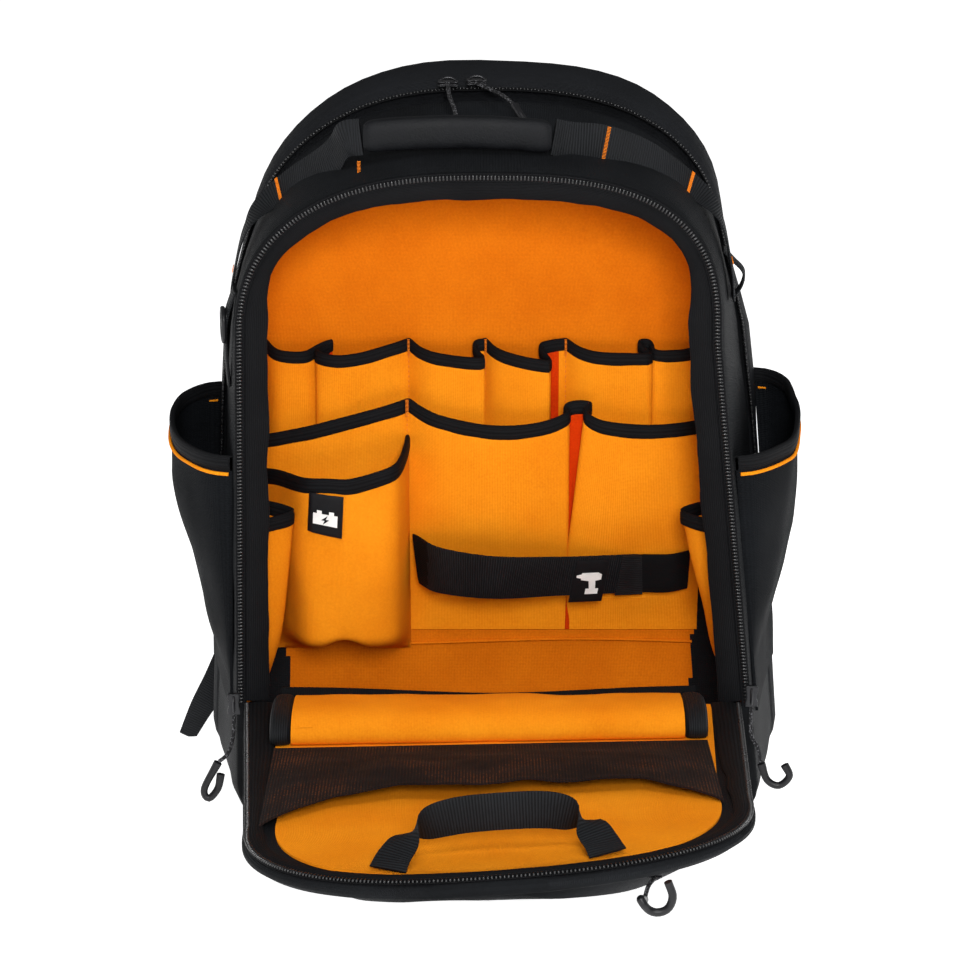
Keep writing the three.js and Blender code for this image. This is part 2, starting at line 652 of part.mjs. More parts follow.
function pouch(low, high, grow, thickness) {
  const last = pouchDepth.length - 1;
  return sheet(last, low ? 1 : 6, (u, v, side) => {
    const p = pouchFront(pouchDepth[Math.round(u * last)].x, lerp(low, high, v));
    p.y -= grow + (side ? 0 : thickness);
    return p;
  });
}
add('battery_pouch', pouch(0, 1, 0, CLOTH), 'lining');
add('battery_binding', pouch(0.92, 1.006, CLOTH + GAP, 1.2), 'web');
add('battery_label', sheet(6, 3, (u, v, side) => {
  const x = lerp(-101, -80, u);
  const z = lerp(176, 200, v);
  const w = (z - POUCH_LOW) / (column(pouchTop, 'x', x, 'z') - POUCH_LOW);
  const p = pouchFront(x, w);
  p.y -= CLOTH + GAP + 0.25 + (side ? 0 : 0.8);
  return p;
}), 'label');

// Pockets on the side walls of the main compartment
const wallPockets = [
  { word: 'left', sign: -1, mouthZ: 196, lowZ: 76, out: 31 },
  { word: 'right', sign: 1, mouthZ: 196, lowZ: 76, out: 31 },
];
for (const p of wallPockets) {
  add(`wall_pocket_${p.word}`, sheet(8, 6, (u, v, side) => {
    const y = lerp(-62, -30, u);
    const z = lerp(p.lowZ, p.mouthZ, v);
    const swell = p.out * Math.sin(Math.PI * u) ** 0.6 * (0.08 + 0.92 * Math.sqrt(v));
    const inner = Math.abs(sideX(y, z, p.sign)) - WALL - GAP - LINING_WALL - GAP - 0.3;
    return v3(p.sign * (inner - swell - (side ? 0 : CLOTH)), y, z);
  }), 'lining');
}

// Elastic tool strap across the pockets, with its label and its sewn end
const strapRows = [
  { x: -39, lift: 5, z: 150 },
  { x: -24, lift: 21, z: 151 },
  { x: 8, lift: 27, z: 150 },
  { x: 45, lift: 21, z: 147 },
  { x: 84, lift: 8, z: 143 },
  { x: 98, lift: 3.1, z: 142 },
  { x: 116, lift: 6, z: 142 },
  { x: 128, lift: 2.4, z: 142 },
].map((r) => ({ x: r.x, y: lowerFront(r.x, r.z) - r.lift, z: r.z }));
const upward = v3(0, -0.28, 1);
const strapWidth = (v) => lerp(STRAP_WIDTH + 4, STRAP_WIDTH - 2, smooth(v * 1.6));
const strapBand = band(strapRows.map((r) => ({ at: v3(r.x, r.y, r.z), across: upward })), strapWidth, 2, 24);
add('tool_strap', strapBand, 'web');
const strapLine = new THREE.CatmullRomCurve3(strapRows.map((r) => v3(r.x, r.y, r.z)), false, 'centripetal');
const labelRows = [];
for (let i = 0; i <= 4; i += 1) {
  const t = lerp(0.475, 0.57, i / 4);
  const p = strapLine.getPoint(t);
  const along = strapLine.getTangent(t);
  p.addScaledVector(v3(along.y, -along.x, 0), 1 + GAP + 0.5);
  labelRows.push({ at: p, across: upward });
}
add('tool_strap_label', band(labelRows, 26, 0.8, 4), 'label');

// Grab handle: a grip sleeve over webbing, low over the top of the body
const gripX = -13;
const gripY = -50;
const gripZ = 424;
const gripRing = (x, scale) => {
  const points = [];
  for (let i = 0; i < 12; i += 1) {
    const a = (i / 12) * Math.PI * 2;
    const c = Math.sign(Math.cos(a)) * Math.abs(Math.cos(a)) ** 0.7;
    const s = Math.sign(Math.sin(a)) * Math.abs(Math.sin(a)) ** 0.7;
    const drop = 3 * ((x - gripX) / (GRIP_LENGTH / 2)) ** 2;
    points.push(v3(x, gripY + c * GRIP_THICKNESS / 2 * scale, gripZ - drop + s * GRIP_HEIGHT / 2 * scale));
  }
  return points;
};
const gripSteps = [
  { t: -1, scale: 0.82 }, { t: -0.97, scale: 1 }, { t: -0.5, scale: 1 }, { t: 0, scale: 1 },
  { t: 0.5, scale: 1 }, { t: 0.97, scale: 1 }, { t: 1, scale: 0.82 },
];
add('grab_handle', loft(gripSteps.map((g) => gripRing(gripX + g.t * GRIP_LENGTH / 2, g.scale))), 'grip');

// Height of the top of the body above a place
function topZ(x, y) {
  const s = sectionAt(y);
  const half = x < 0 ? s.left : s.right;
  const power = x < 0 ? s.leftPower : s.rightPower;
  return s.spring + (s.top - s.spring) * (1 - clamp(Math.abs(x) / half, 0, 0.999) ** power) ** (1 / power);
}
// Handle webbing: from the grip down along the gusset, standing off a little between its tacks
const tackRows = [
  { deg: 60, lift: 2.7 }, { deg: 52, lift: 5.5 }, { deg: 46, lift: 2.5 }, { deg: 38, lift: 6.5 },
  { deg: 30, lift: 2.3 }, { deg: 20, lift: 6.5 }, { deg: 10, lift: 2 },
];
const WEB_Y = -16;
for (const [sign, word] of [[-1, 'left'], [1, 'right']]) {
  const end = gripX + sign * (GRIP_LENGTH / 2 + GAP + 0.8);
  const rows = [
    { at: v3(end, gripY, gripZ - 3), across: v3(0, 0.25, 1) },
    { at: v3(end + sign * 8, gripY + 5, gripZ - 4.5), across: v3(0, 0.7, 0.7) },
  ];
  const s = sectionAt(WEB_Y);
  const half = sign < 0 ? s.left : s.right;
  const power = sign < 0 ? s.leftPower : s.rightPower;
  for (const { deg, lift } of tackRows) {
    const a = THREE.MathUtils.degToRad(deg);
    const z = s.spring + (s.top - s.spring) * Math.sin(a) ** (2 / power);
    const x = Math.abs(drawIn(s, sign * half * Math.cos(a) ** (2 / power), z));
    const out = v3(Math.cos(a), 0, Math.sin(a)).normalize();
    if (sign * (sign * x - end) < 16) continue;
    rows.push({ at: v3(sign * (x + out.x * lift), WEB_Y, z + out.z * lift), across: v3(0, 1, 0.12) });
  }
  add(`handle_web_${word}`, band(rows, 21, WEB_THICKNESS, 30), 'web');
}

// Small tab on the right shoulder and a strap with a buckle on the left
add('side_tab_right', band([
  { at: v3(sideX(6, 342, 1) + 1.1, 4, 342), across: v3(0.08, 1, 0) },
  { at: v3(sideX(6, 334, 1) + 7, 4, 334), across: v3(0.08, 1, 0) },
  { at: v3(sideX(6, 322, 1) + 6, 4, 322), across: v3(0.08, 1, 0) },
  { at: v3(sideX(6, 312, 1) + 1.3, 4, 312), across: v3(0.08, 1, 0) },
], 14, WEB_THICKNESS, 8), 'web');
add('side_strap_left', band([
  { at: v3(sideX(-44, 330, -1) - 2.4, -44, 330), across: v3(-0.12, 1, 0) },
  { at: v3(sideX(-44, 312, -1) - 5, -44, 312), across: v3(-0.12, 1, 0) },
  { at: v3(sideX(-44, 292, -1) - 4.5, -43, 292), across: v3(-0.12, 1, 0) },
  { at: v3(sideX(-43, 272, -1) - 2.4, -42, 272), across: v3(-0.12, 1, 0) },
], 18, 3, 8), 'web');

// Zip sliders
function slider(name, x, y, z, w, d, h) {
  const geometry = new THREE.BoxGeometry(w, d, h);
  geometry.translate(x, y, z);
  add(name, geometry, 'metal');
}
const sliderY = coilFrontY - COIL_HEIGHT - GAP - 2;
const SLIDER_LENGTH = 13;
const leftSlider = { x: -147, z: HINGE_Z + 3 };
const rightSlider = { x: 162, z: HINGE_Z + 8 };
slider('slider_left', leftSlider.x, sliderY, leftSlider.z, 8, 4, SLIDER_LENGTH);
slider('slider_right', rightSlider.x, sliderY, rightSlider.z, 8, 4, SLIDER_LENGTH);
const rearTop = (x) => topZ(x, rearZipY + COIL_WIDTH / 2) + COIL_HEIGHT + GAP * 2 + 2.5;
slider('rear_slider_left', -19, rearZipY, rearTop(-15) - 0.6, 12, 8, 4);
slider('rear_slider_right', -2, rearZipY, rearTop(-1), 12, 8, 4);
const under = frontZipLine.reduce((a, b) => (Math.abs(b[0] - 88) < Math.abs(a[0] - 88) ? b : a));
const underPull = onPanel(under[0], under[1], -PANEL_THICKNESS - GAP * 2 - COIL_HEIGHT - 2.7);
slider('front_slider', underPull.x, underPull.y, underPull.z, 7, 7, 4);

// Pull cords and their moulded ends, each end starts just past its cord
const SEAT = 0.45;
const leftFoot = [leftSlider.x, sliderY, leftSlider.z - SLIDER_LENGTH / 2 - SEAT];
const rightFoot = [rightSlider.x, sliderY, rightSlider.z - SLIDER_LENGTH / 2 - SEAT];
const rearFace = rearZipY - 4 - SEAT - 0.35;
const u = underPull;
const pulls = [
  {
    cord: 'cord_left', steps: 8, end: 'pull_left',
    cordPoints: [leftFoot, [-148, -84, 62], [-151, -88, 54], [-156, -90, 50]],
    endPoints: [[-163, -91, 33], [-160, -92, 28], [-155, -91, 34], [-153, -90, 43]],
  },
  {
    cord: 'cord_right', steps: 8, end: 'pull_right',
    cordPoints: [rightFoot, [162, -85, 66], [166, -88, 58], [168, -89, 49]],
    endPoints: [[174, -90, 36], [182, -91, 33], [188, -91, 39], [185, -90, 46]],
  },
  {
    cord: 'rear_cord_left', steps: 8, end: null,
    cordPoints: [[-19, rearFace, rearTop(-15)], [-18, 4, 434], [-15, -14, 430], [-13, -30, 424]],
  },
  {
    cord: 'rear_cord_right', steps: 8, end: 'rear_pull',
    cordPoints: [[-2, rearFace, rearTop(-1)], [6, 8, 437], [14, -2, 435], [20, -9, 431]],
    endPoints: [[23, -15, 427.5], [26, -19, 424], [29, -23, 421]],
  },
  {
    cord: 'front_cord', steps: 6, end: 'front_pull',
    cordPoints: [[u.x, u.y - 4.1 - SEAT, u.z], [86, u.y - 12, u.z - 1.5], [84, u.y - 15, u.z - 7]],
    endPoints: [[83, u.y - 15, u.z - 15], [90, u.y - 15, u.z - 19], [98, u.y - 15, u.z - 15], [98, u.y - 15, u.z - 4]],
  },
];
for (const p of pulls) {
  add(p.cord, tube(p.cordPoints, CORD_D, p.steps), 'cord');
  if (!p.end) continue;
  const last = v3(...p.cordPoints[p.cordPoints.length - 1]);
  const way = last.clone().sub(v3(...p.cordPoints[p.cordPoints.length - 2])).normalize();
  const start = last.addScaledVector(way, SEAT + 0.25);
  add(p.end, tube([[start.x, start.y, start.z], ...p.endPoints], PULL_D, 10), 'rubber');
}

// Back panel pad and shoulder straps
const padOutline = (grow, y) => {
  const points = [];
  for (let i = 0; i < 28; i += 1) {
    const a = (i / 28) * Math.PI * 2;
    const c = Math.sign(Math.cos(a)) * Math.abs(Math.cos(a)) ** 0.45;
    const s = Math.sign(Math.sin(a)) * Math.abs(Math.sin(a)) ** 0.45;
    points.push(v3(4 + c * (118 + grow), y, 215 + s * (178 + grow)));
  }
  return points;
};
add('back_pad', loft([
  padOutline(0, BACK_Y + GAP), padOutline(0, BACK_Y + PAD_THICKNESS * 0.55),
  padOutline(-4, BACK_Y + PAD_THICKNESS * 0.85), padOutline(-14, BACK_Y + PAD_THICKNESS),
]), 'ribbed');
const strapBackY = BACK_Y + PAD_THICKNESS;
const shoulderRows = [
  { x: 44, y: strapBackY + SHOULDER_THICKNESS / 2 + 1, z: 384, ax: 1, ay: 0.05 },
  { x: 50, y: strapBackY + 26, z: 372, ax: 1, ay: 0.05 },
  { x: 62, y: strapBackY + 34, z: 320, ax: 1, ay: 0.1 },
  { x: 80, y: strapBackY + 30, z: 255, ax: 1, ay: 0.1 },
  { x: 98, y: strapBackY + 20, z: 195, ax: 1, ay: 0.1 },
];
for (const [sign, word] of [[-1, 'left'], [1, 'right']]) {
  const rows = shoulderRows.map((r) => ({ at: v3(4 + sign * r.x, r.y, r.z), across: v3(r.ax, sign * r.ay, 0) }));
  const taper = (v) => lerp(SHOULDER_WIDTH, SHOULDER_WIDTH * 0.62, smooth((v - 0.5) * 2));
  add(`shoulder_strap_${word}`, band(rows, taper, SHOULDER_THICKNESS, 16), 'cloth');
  const webRows = [
    { at: v3(4 + sign * 100, strapBackY + 18, 187), across: v3(1, sign * 0.1, 0) },
    { at: v3(4 + sign * 112, strapBackY + 12, 140), across: v3(1, sign * 0.1, 0) },
    { at: v3(4 + sign * 128, strapBackY + 4, 90), across: v3(1, 0, 0.5 * sign) },
    { at: v3(4 + sign * 146, BACK_Y + 2.2, 52), across: v3(1, 0, 0.9 * sign) },
  ];
  add(`strap_web_${word}`, band(webRows, 24, WEB_THICKNESS, 12), 'web');
}
add('strap_end_left', band([
  { at: v3(-160, BACK_Y + 4.2, 64), across: v3(0.75, 0, -0.66) },
  { at: v3(-169, BACK_Y + 3.6, 48), across: v3(0.85, 0, -0.5) },
  { at: v3(-177, BACK_Y + 2, 28), across: v3(0.93, 0, -0.36) },
  { at: v3(-183, BACK_Y + 1.5, 4), across: v3(0.96, 0, -0.25) },
], (v) => lerp(24, 16, smooth((v - 0.7) * 3)), WEB_THICKNESS, 12), 'web');

export default part;
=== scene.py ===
# %% [markdown]
# # A tool backpack with its front panel folded down
# The packed CAD model is the frame: every piece made here sits where its solid is.
# Lengths are worked out in millimetres, as on the maker's drawing, and become metres at the end.

# %% load the frame
import math
import bpy
import numpy as np
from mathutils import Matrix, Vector, noise


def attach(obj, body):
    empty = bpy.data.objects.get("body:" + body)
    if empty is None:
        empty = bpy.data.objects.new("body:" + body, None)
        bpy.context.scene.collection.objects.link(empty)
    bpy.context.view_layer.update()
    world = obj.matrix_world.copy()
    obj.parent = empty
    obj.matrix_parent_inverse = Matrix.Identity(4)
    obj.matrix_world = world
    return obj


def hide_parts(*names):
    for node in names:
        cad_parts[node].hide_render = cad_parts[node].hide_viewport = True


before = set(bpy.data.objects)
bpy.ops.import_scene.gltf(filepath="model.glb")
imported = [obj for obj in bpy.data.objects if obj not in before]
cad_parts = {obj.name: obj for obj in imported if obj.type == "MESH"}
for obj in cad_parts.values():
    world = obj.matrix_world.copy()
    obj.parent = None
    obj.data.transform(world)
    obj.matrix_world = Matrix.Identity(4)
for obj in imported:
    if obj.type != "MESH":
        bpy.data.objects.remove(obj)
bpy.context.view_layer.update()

# %% [markdown]
# ## Camera
# A long lens from well back keeps the upright lines parallel, as in a shop picture. The camera
# stands 18 degrees above the middle of the backpack and looks straight at its open front.

# %% camera
MM = 0.001
camera = bpy.data.objects.new("camera", bpy.data.cameras.new("camera"))
bpy.context.collection.objects.link(camera)
camera.location = (0.0, -1.90103, 0.81531)
aim = Vector((0.0, -0.075, 0.222)) - camera.location
camera.rotation_euler = aim.to_track_quat("-Z", "Y").to_euler()
camera.data.sensor_width = 36
camera.data.lens = 122.96
camera.data.clip_end = 50
bpy.context.scene.camera = camera
print("camera distance", round(aim.length, 3))

# %% [markdown]
# ## Floor and lights
# A large lamp above and in front fills the open compartment, one overhead brightens what faces up,
# and two at the sides draw thin edges along the black cloth. The floor is plain and pale.

# %% floor and lights
def lamp(name, place, towards, size, power):
    light = bpy.data.objects.new(name, bpy.data.lights.new(name, "AREA"))
    bpy.context.collection.objects.link(light)
    light.data.shape = "RECTANGLE"
    light.data.size, light.data.size_y = size
    light.data.energy = power
    light.location = place
    way = Vector(towards) - light.location
    light.rotation_euler = way.to_track_quat("-Z", "Y").to_euler()
    return light


lamp("front_lamp", (0.15, -2.2, 1.2), (0, 0, 0.22), (0.7, 0.6), 46)
lamp("top_lamp", (0.1, -0.9, 2.2), (0, 0, 0.25), (1.2, 0.9), 16)
lamp("left_lamp", (-1.8, 0.1, 0.8), (0, 0, 0.25), (0.5, 1.5), 7)
lamp("right_lamp", (1.8, 0.1, 0.8), (0, 0, 0.25), (0.5, 1.5), 8)
bpy.ops.mesh.primitive_plane_add(size=14, location=(0, 2, -0.0004))
floor = bpy.context.object
floor.name = "floor"
world = bpy.context.scene.world or bpy.data.worlds.new("studio")
bpy.context.scene.world = world
world.use_nodes = True
world.node_tree.nodes["Background"].inputs["Color"].default_value = (1, 1, 1, 1)
world.node_tree.nodes["Background"].inputs["Strength"].default_value = 0.14
bpy.context.scene.view_settings.view_transform = "Standard"
bpy.context.scene.view_settings.look = "None"

# %% [markdown]
# ## Writing shaders as sums
# Each finish is a small formula: a wave for the weave, a cloud for the wear. A class wraps
# one output of a node, so that such formulas can be written with plus, minus and times.

# %% values
class Value:
    def __init__(self, shader, socket):
        self.shader = shader
        self.socket = socket

    def math(self, kind, *values):
        return self.shader.node("ShaderNodeMath", {"operation": kind}, dict(enumerate(values)))

    def __add__(self, other):
        return self.math("ADD", self, other)

    def __radd__(self, other):
        return self.math("ADD", other, self)

    def __sub__(self, other):
        return self.math("SUBTRACT", self, other)

    def __rsub__(self, other):
        return self.math("SUBTRACT", other, self)

    def __mul__(self, other):
        return self.math("MULTIPLY", self, other)

    def __rmul__(self, other):
        return self.math("MULTIPLY", other, self)

    def wave(self):
        return self.math("SINE", self)

    def size(self):
        return self.math("ABSOLUTE", self)

    def above(self, limit):
        return self.math("GREATER_THAN", self, limit)


print("operators", [name for name in vars(Value) if name.startswith("__") and name.endswith("__")][2:])

# %% [markdown]
# A second class holds the material itself. Every node is made by its one method, which sets the
# node first and then fills or links its sockets; the other methods are names for common nodes.

# %% shader
class Shader:
    def __init__(self, name, roughness=0.8, **constants):
        self.material = bpy.data.materials.new(name)
        self.material.use_nodes = True
        self.tree = self.material.node_tree
        self.surface = self.tree.nodes["Principled BSDF"]
        self.surface.inputs["Roughness"].default_value = roughness
        for socket, value in constants.items():
            self.surface.inputs[socket.replace("_", " ")].default_value = value

    def node(self, kind, settings=None, inputs=None, output=0):
        made = self.tree.nodes.new(kind)
        for key, value in (settings or {}).items():
            setattr(made, key, value)
        for key, value in (inputs or {}).items():
            if isinstance(value, Value):
                self.tree.links.new(value.socket, made.inputs[key])
            else:
                made.inputs[key].default_value = value
        return Value(self, made.outputs[output])

    def place(self):
        return self.node("ShaderNodeTexCoord", output="Object")

    def cloth_place(self):
        return self.node("ShaderNodeTexCoord", output="UV")

    def axis(self, vector, name):
        return self.node("ShaderNodeSeparateXYZ", inputs={0: vector}, output=name)

    def cloud(self, vector, size, detail=3.0):
        inputs = {"Vector": vector, "Scale": 1 / size, "Detail": detail, "Roughness": 0.55}
        return self.node("ShaderNodeTexNoise", inputs=inputs)

    def blend(self, factor, low, high):
        inputs = {0: factor, 6: low, 7: high}
        return self.node("ShaderNodeMix", {"data_type": "RGBA"}, inputs, output=2)

    def relief(self, height, depth, strength=1.0, under=None):
        inputs = {"Strength": strength, "Distance": depth, "Height": height}
        if under:
            inputs["Normal"] = under
        return self.node("ShaderNodeBump", inputs=inputs)

    def set(self, socket, value):
        self.tree.links.new(value.socket, self.surface.inputs[socket])


def rgb(r, g, b):
    """A colour picked on a screen, 0 to 255, as the light it stands for"""
    parts = [c / 255 for c in (r, g, b)]
    return tuple(c / 12.92 if c < 0.04045 else ((c + 0.055) / 1.055) ** 2.4 for c in parts) + (1.0,)


# %% [markdown]
# ## Cloth finishes
# Woven cloth shows three things: threads that cross at about half a millimetre, a soft unevenness
# in the dye, and a nap that catches light at a slant. The threads follow the piece's own UV map,
# which is laid out in metres, so that they keep their size round every bend.

# %% woven cloth
def threads(shader, pitch, across=1.0, along=1.0):
    uv = shader.cloth_place()
    u = (shader.axis(uv, "X") * (math.pi / pitch)).wave().size()
    v = (shader.axis(uv, "Y") * (math.pi / pitch)).wave().size()
    return u * across + v * along


def woven(name, dark, light, pitch, depth, roughness, gloss=0.2, patch=0.05):
    shader = Shader(name, roughness, Specular_IOR_Level=gloss)
    where = shader.place()
    weave = threads(shader, pitch)
    soft = shader.cloud(where, patch)
    grain = shader.cloud(where, 0.0014, 2.0)
    mixed = (soft - 0.5) * 1.3 + (weave - 1.27) * 0.28 + (grain - 0.5) * 0.9 + 0.5
    shader.set("Base Color", shader.blend(mixed, dark, light))
    shader.set("Roughness", roughness + (grain - 0.5) * 0.2)
    relief = shader.relief(weave, depth)
    shader.set("Normal", shader.relief(soft, 0.0012, 0.4, relief))
    return shader.material


orange_cloth = woven("orange_cloth", rgb(226, 124, 12), rgb(246, 152, 26), 0.0009, 0.00012, 0.85, 0.06)
# The back wall's lining: the same orange cloth, painted deeper as painted shade deep inside the compartment.
wall_shade_orange = woven("wall_shade_orange", rgb(198, 96, 6), rgb(228, 124, 16), 0.0009, 0.00012, 0.85, 0.05)
# The pleats' faces: the same orange cloth, painted deep red as painted shade inside the folds.
pleat_shade_red = woven("pleat_shade_red", rgb(190, 44, 2), rgb(214, 62, 4), 0.0009, 0.00012, 0.8, 0.05)
pocket_cloth = woven("pocket_cloth", rgb(6, 7, 9), rgb(19, 21, 24), 0.0011, 0.00018, 0.72, 0.06)
black_cloth = woven("black_cloth", rgb(9, 10, 12), rgb(25, 27, 30), 0.0011, 0.00018, 0.66, 0.1)


print("woven", [cloth.name for cloth in (orange_cloth, wall_shade_orange, pleat_shade_red, pocket_cloth, black_cloth)])

# %% [markdown]
# Tape, webbing and elastic are woven with ribs. The ribs run across or along the piece, by the
# axis of its UV map that the wave reads.

# %% ribbed cloth
def ribbed(name, dark, light, pitch, depth, roughness, direction="Y", gloss=0.25):
    shader = Shader(name, roughness, Specular_IOR_Level=gloss)
    where = shader.place()
    rib = (shader.axis(shader.cloth_place(), direction) * (math.pi / pitch)).wave().size()
    soft = shader.cloud(where, 0.03)
    grain = shader.cloud(where, 0.0012, 2.0)
    mixed = (rib - 0.6) * 0.9 + (soft - 0.5) * 0.8 + (grain - 0.5) * 0.8 + 0.4
    shader.set("Base Color", shader.blend(mixed, dark, light))
    shader.set("Roughness", roughness + (grain - 0.5) * 0.2)
    shader.set("Normal", shader.relief(rib, depth))
    return shader.material


ribbed_cloth = ribbed("ribbed_cloth", rgb(8, 9, 11), rgb(27, 29, 33), 0.0024, 0.0003, 0.66, "Y", 0.12)
binding_tape = ribbed("binding_tape", rgb(7, 7, 9), rgb(19, 20, 22), 0.0011, 0.00016, 0.72, "X", 0.1)
webbing = ribbed("webbing", rgb(7, 8, 10), rgb(27, 29, 32), 0.0016, 0.0003, 0.64, "Y", 0.15)
elastic = ribbed("elastic", rgb(5, 5, 7), rgb(34, 35, 38), 0.0014, 0.00045, 0.66, "Y", 0.15)
thread = ribbed("orange_thread", rgb(226, 120, 6), rgb(255, 172, 44), 0.0006, 0.0002, 0.6, "Y", 0.3)

print("ribbed", [tape.name for tape in (ribbed_cloth, binding_tape, webbing, elastic, thread)])

# %% [markdown]
# ## Knitted mesh
# The flat pocket of the panel is an open knit: dark ribs run from the hinge outward, and in
# scattered patches the orange lining shines through as small dots.

# %% knitted mesh
def knit():
    shader = Shader("knitted_mesh", 0.85, Specular_IOR_Level=0.15)
    uv = shader.cloth_place()
    where = shader.place()
    rib = (shader.axis(uv, "X") * (math.pi / 0.0018)).wave().size()
    row = (shader.axis(uv, "Y") * (math.pi / 0.0013)).wave().size()
    patch = shader.cloud(where, 0.035)
    speck = shader.cloud(where, 0.0016, 1.0)
    hole = (rib * row - 0.9 + (patch - 0.5) * 1.1 + (speck - 0.5) * 1.2).above(0.16)
    yarn = shader.blend((rib - 0.4) * 0.8 + (patch - 0.5) * 1.2, rgb(17, 11, 10), rgb(44, 29, 24))
    shader.set("Base Color", shader.blend(hole * 0.5, yarn, rgb(150, 78, 18)))
    shader.set("Normal", shader.relief(rib + row * 0.5, 0.0003))
    return shader.material


knitted_mesh = knit()
print("nodes in the knit", len(knitted_mesh.node_tree.nodes))

# %% [markdown]
# ## Moulded and metal finishes
# Zip teeth, labels and cord ends are moulded plastic or rubber, with a fine grain and a soft
# gloss. The sliders are black painted metal whose gloss breaks up a little.

# %% moulded finishes
def moulded(name, dark, light, grain_size, depth, roughness, coat=0.0, metallic=0.0, gloss=0.4):
    shader = Shader(name, roughness, Coat_Weight=coat, Coat_Roughness=0.3, Metallic=metallic,
                    Specular_IOR_Level=gloss)
    where = shader.place()
    grain = shader.cloud(where, grain_size, 2.0)
    wear = shader.cloud(where, grain_size * 12)
    shader.set("Base Color", shader.blend((wear - 0.5) * 1.4 + (grain - 0.5) * 0.6 + 0.5, dark, light))
    shader.set("Roughness", roughness + (wear - 0.5) * 0.25)
    shader.set("Normal", shader.relief(grain, depth))
    return shader.material


coil_plastic = moulded("coil_plastic", rgb(8, 8, 9), rgb(22, 22, 24), 0.0008, 0.00004, 0.3, gloss=0.6)
slider_paint = moulded("slider_paint", rgb(18, 18, 20), rgb(44, 44, 47), 0.0006, 0.00003, 0.3, 0.1, 0.5)
pull_rubber = moulded("pull_rubber", rgb(12, 12, 14), rgb(25, 25, 28), 0.0005, 0.00004, 0.42, gloss=0.3)
label_rubber = moulded("label_rubber", rgb(10, 10, 12), rgb(20, 20, 23), 0.0005, 0.00006, 0.6, gloss=0.15)
label_print = moulded("label_print", rgb(216, 216, 214), rgb(244, 244, 242), 0.0007, 0.00002, 0.5)
grip_hide = moulded("grip_hide", rgb(8, 9, 11), rgb(20, 21, 24), 0.0011, 0.00022, 0.58, 0.0, gloss=0.15)


def pale_floor():
    shader = Shader("floor_paint", 0.9, Specular_IOR_Level=0.1, Emission_Strength=0.92)
    cloud = shader.cloud(shader.place(), 0.3)
    shader.set("Base Color", shader.blend(cloud, rgb(236, 236, 236), rgb(242, 242, 242)))
    shader.set("Emission Color", shader.blend(cloud, rgb(253, 253, 253), rgb(255, 255, 255)))
    return shader.material


floor.data.materials.append(pale_floor())


def braid():
    shader = Shader("speckled_braid", 0.75, Specular_IOR_Level=0.3)
    uv = shader.cloth_place()
    u = shader.axis(uv, "X")
    v = shader.axis(uv, "Y")
    lay = ((u + v) * (math.pi / 0.0018)).wave() * ((u - v) * (math.pi / 0.0018)).wave()
    fleck = shader.cloud(shader.place(), 0.0011, 1.0).above(0.58)
    shader.set("Base Color", shader.blend(fleck, rgb(16, 16, 18), rgb(84, 84, 87)))
    shader.set("Normal", shader.relief(lay, 0.0003))
    return shader.material


speckled_braid = braid()
print("finishes", len(bpy.data.materials))

# %% [markdown]
# ## Making cloth from a grid
# A flat grid is the start of every sheet: it is extruded once to give the cloth two faces, and
# then its corners are carried to where the cloth hangs. Its UV map is stretched to true size, so
# that the weave keeps its scale. A simulation could drop the cloth instead and would give truer
# folds; here they are drawn with soft noise, which is quick and keeps each hem on its seam.

# %% cloth from a grid
def deselect():
    if bpy.context.object and bpy.context.object.mode != "OBJECT":
        bpy.ops.object.mode_set(mode="OBJECT")
    bpy.ops.object.select_all(action="DESELECT")


def take(piece):
    deselect()
    piece.select_set(True)
    bpy.context.view_layer.objects.active = piece
    return piece


def grid(name, cells):
    deselect()
    bpy.ops.mesh.primitive_grid_add(x_subdivisions=cells[0], y_subdivisions=cells[1], size=1, calc_uvs=True)
    piece = bpy.context.object
    piece.name = piece.data.name = name
    return piece


def path_length(points):
    return float(np.linalg.norm(np.diff(np.array(points, float), axis=0), axis=1).sum())


def carry(piece, place):
    mesh = piece.data
    spots = [(v.co.x + 0.5, v.co.y + 0.5, round(v.co.z)) for v in mesh.vertices]
    for vertex, (u, v, side) in zip(mesh.vertices, spots):
        vertex.co = Vector([float(c) for c in place(u, v, side)]) * MM
    along = np.linspace(0, 1, 25)
    size = [path_length([place(t, 0.5, 0) for t in along]) * MM,
            path_length([place(0.5, t, 0) for t in along]) * MM]
    uv = mesh.uv_layers.active.data
    for loop in mesh.loops:
        u, v, _ = spots[loop.vertex_index]
        uv[loop.index].uv = (u * size[0], v * size[1])


def finish_mesh(piece, angle=40, weld=False, ends=False):
    take(piece)
    bpy.ops.object.mode_set(mode="EDIT")
    bpy.ops.mesh.select_all(action="SELECT")
    if weld:
        bpy.ops.mesh.remove_doubles(threshold=1e-6)
    if ends:
        bpy.ops.mesh.fill_holes(sides=0)
        bpy.ops.mesh.select_all(action="SELECT")
    bpy.ops.mesh.normals_make_consistent(inside=False)
    bpy.ops.object.mode_set(mode="OBJECT")
    bpy.ops.object.shade_smooth_by_angle(angle=math.radians(angle))
    return piece


def cloth(name, cells, place):
    us, vs = (np.linspace(0, 1, count + 1) for count in cells)
    max(path_length([place(u, v, 1) for u in us]) for v in (0, 0.25, 0.5, 0.75, 1))
    max(path_length([place(u, v, 1) for v in vs]) for u in np.linspace(0, 1, 9))
    piece = grid(name, cells)
    bpy.ops.object.mode_set(mode="EDIT")
    bpy.ops.mesh.select_all(action="SELECT")
    bpy.ops.mesh.extrude_region_move(TRANSFORM_OT_translate={"value": (0, 0, 1)})
    bpy.ops.object.mode_set(mode="OBJECT")
    carry(piece, place)
    return finish_mesh(piece, 60)


def loft(name, cells, place, ends=True):
    piece = grid(name, cells)
    carry(piece, place)
    return finish_mesh(piece, 50, weld=True, ends=ends)


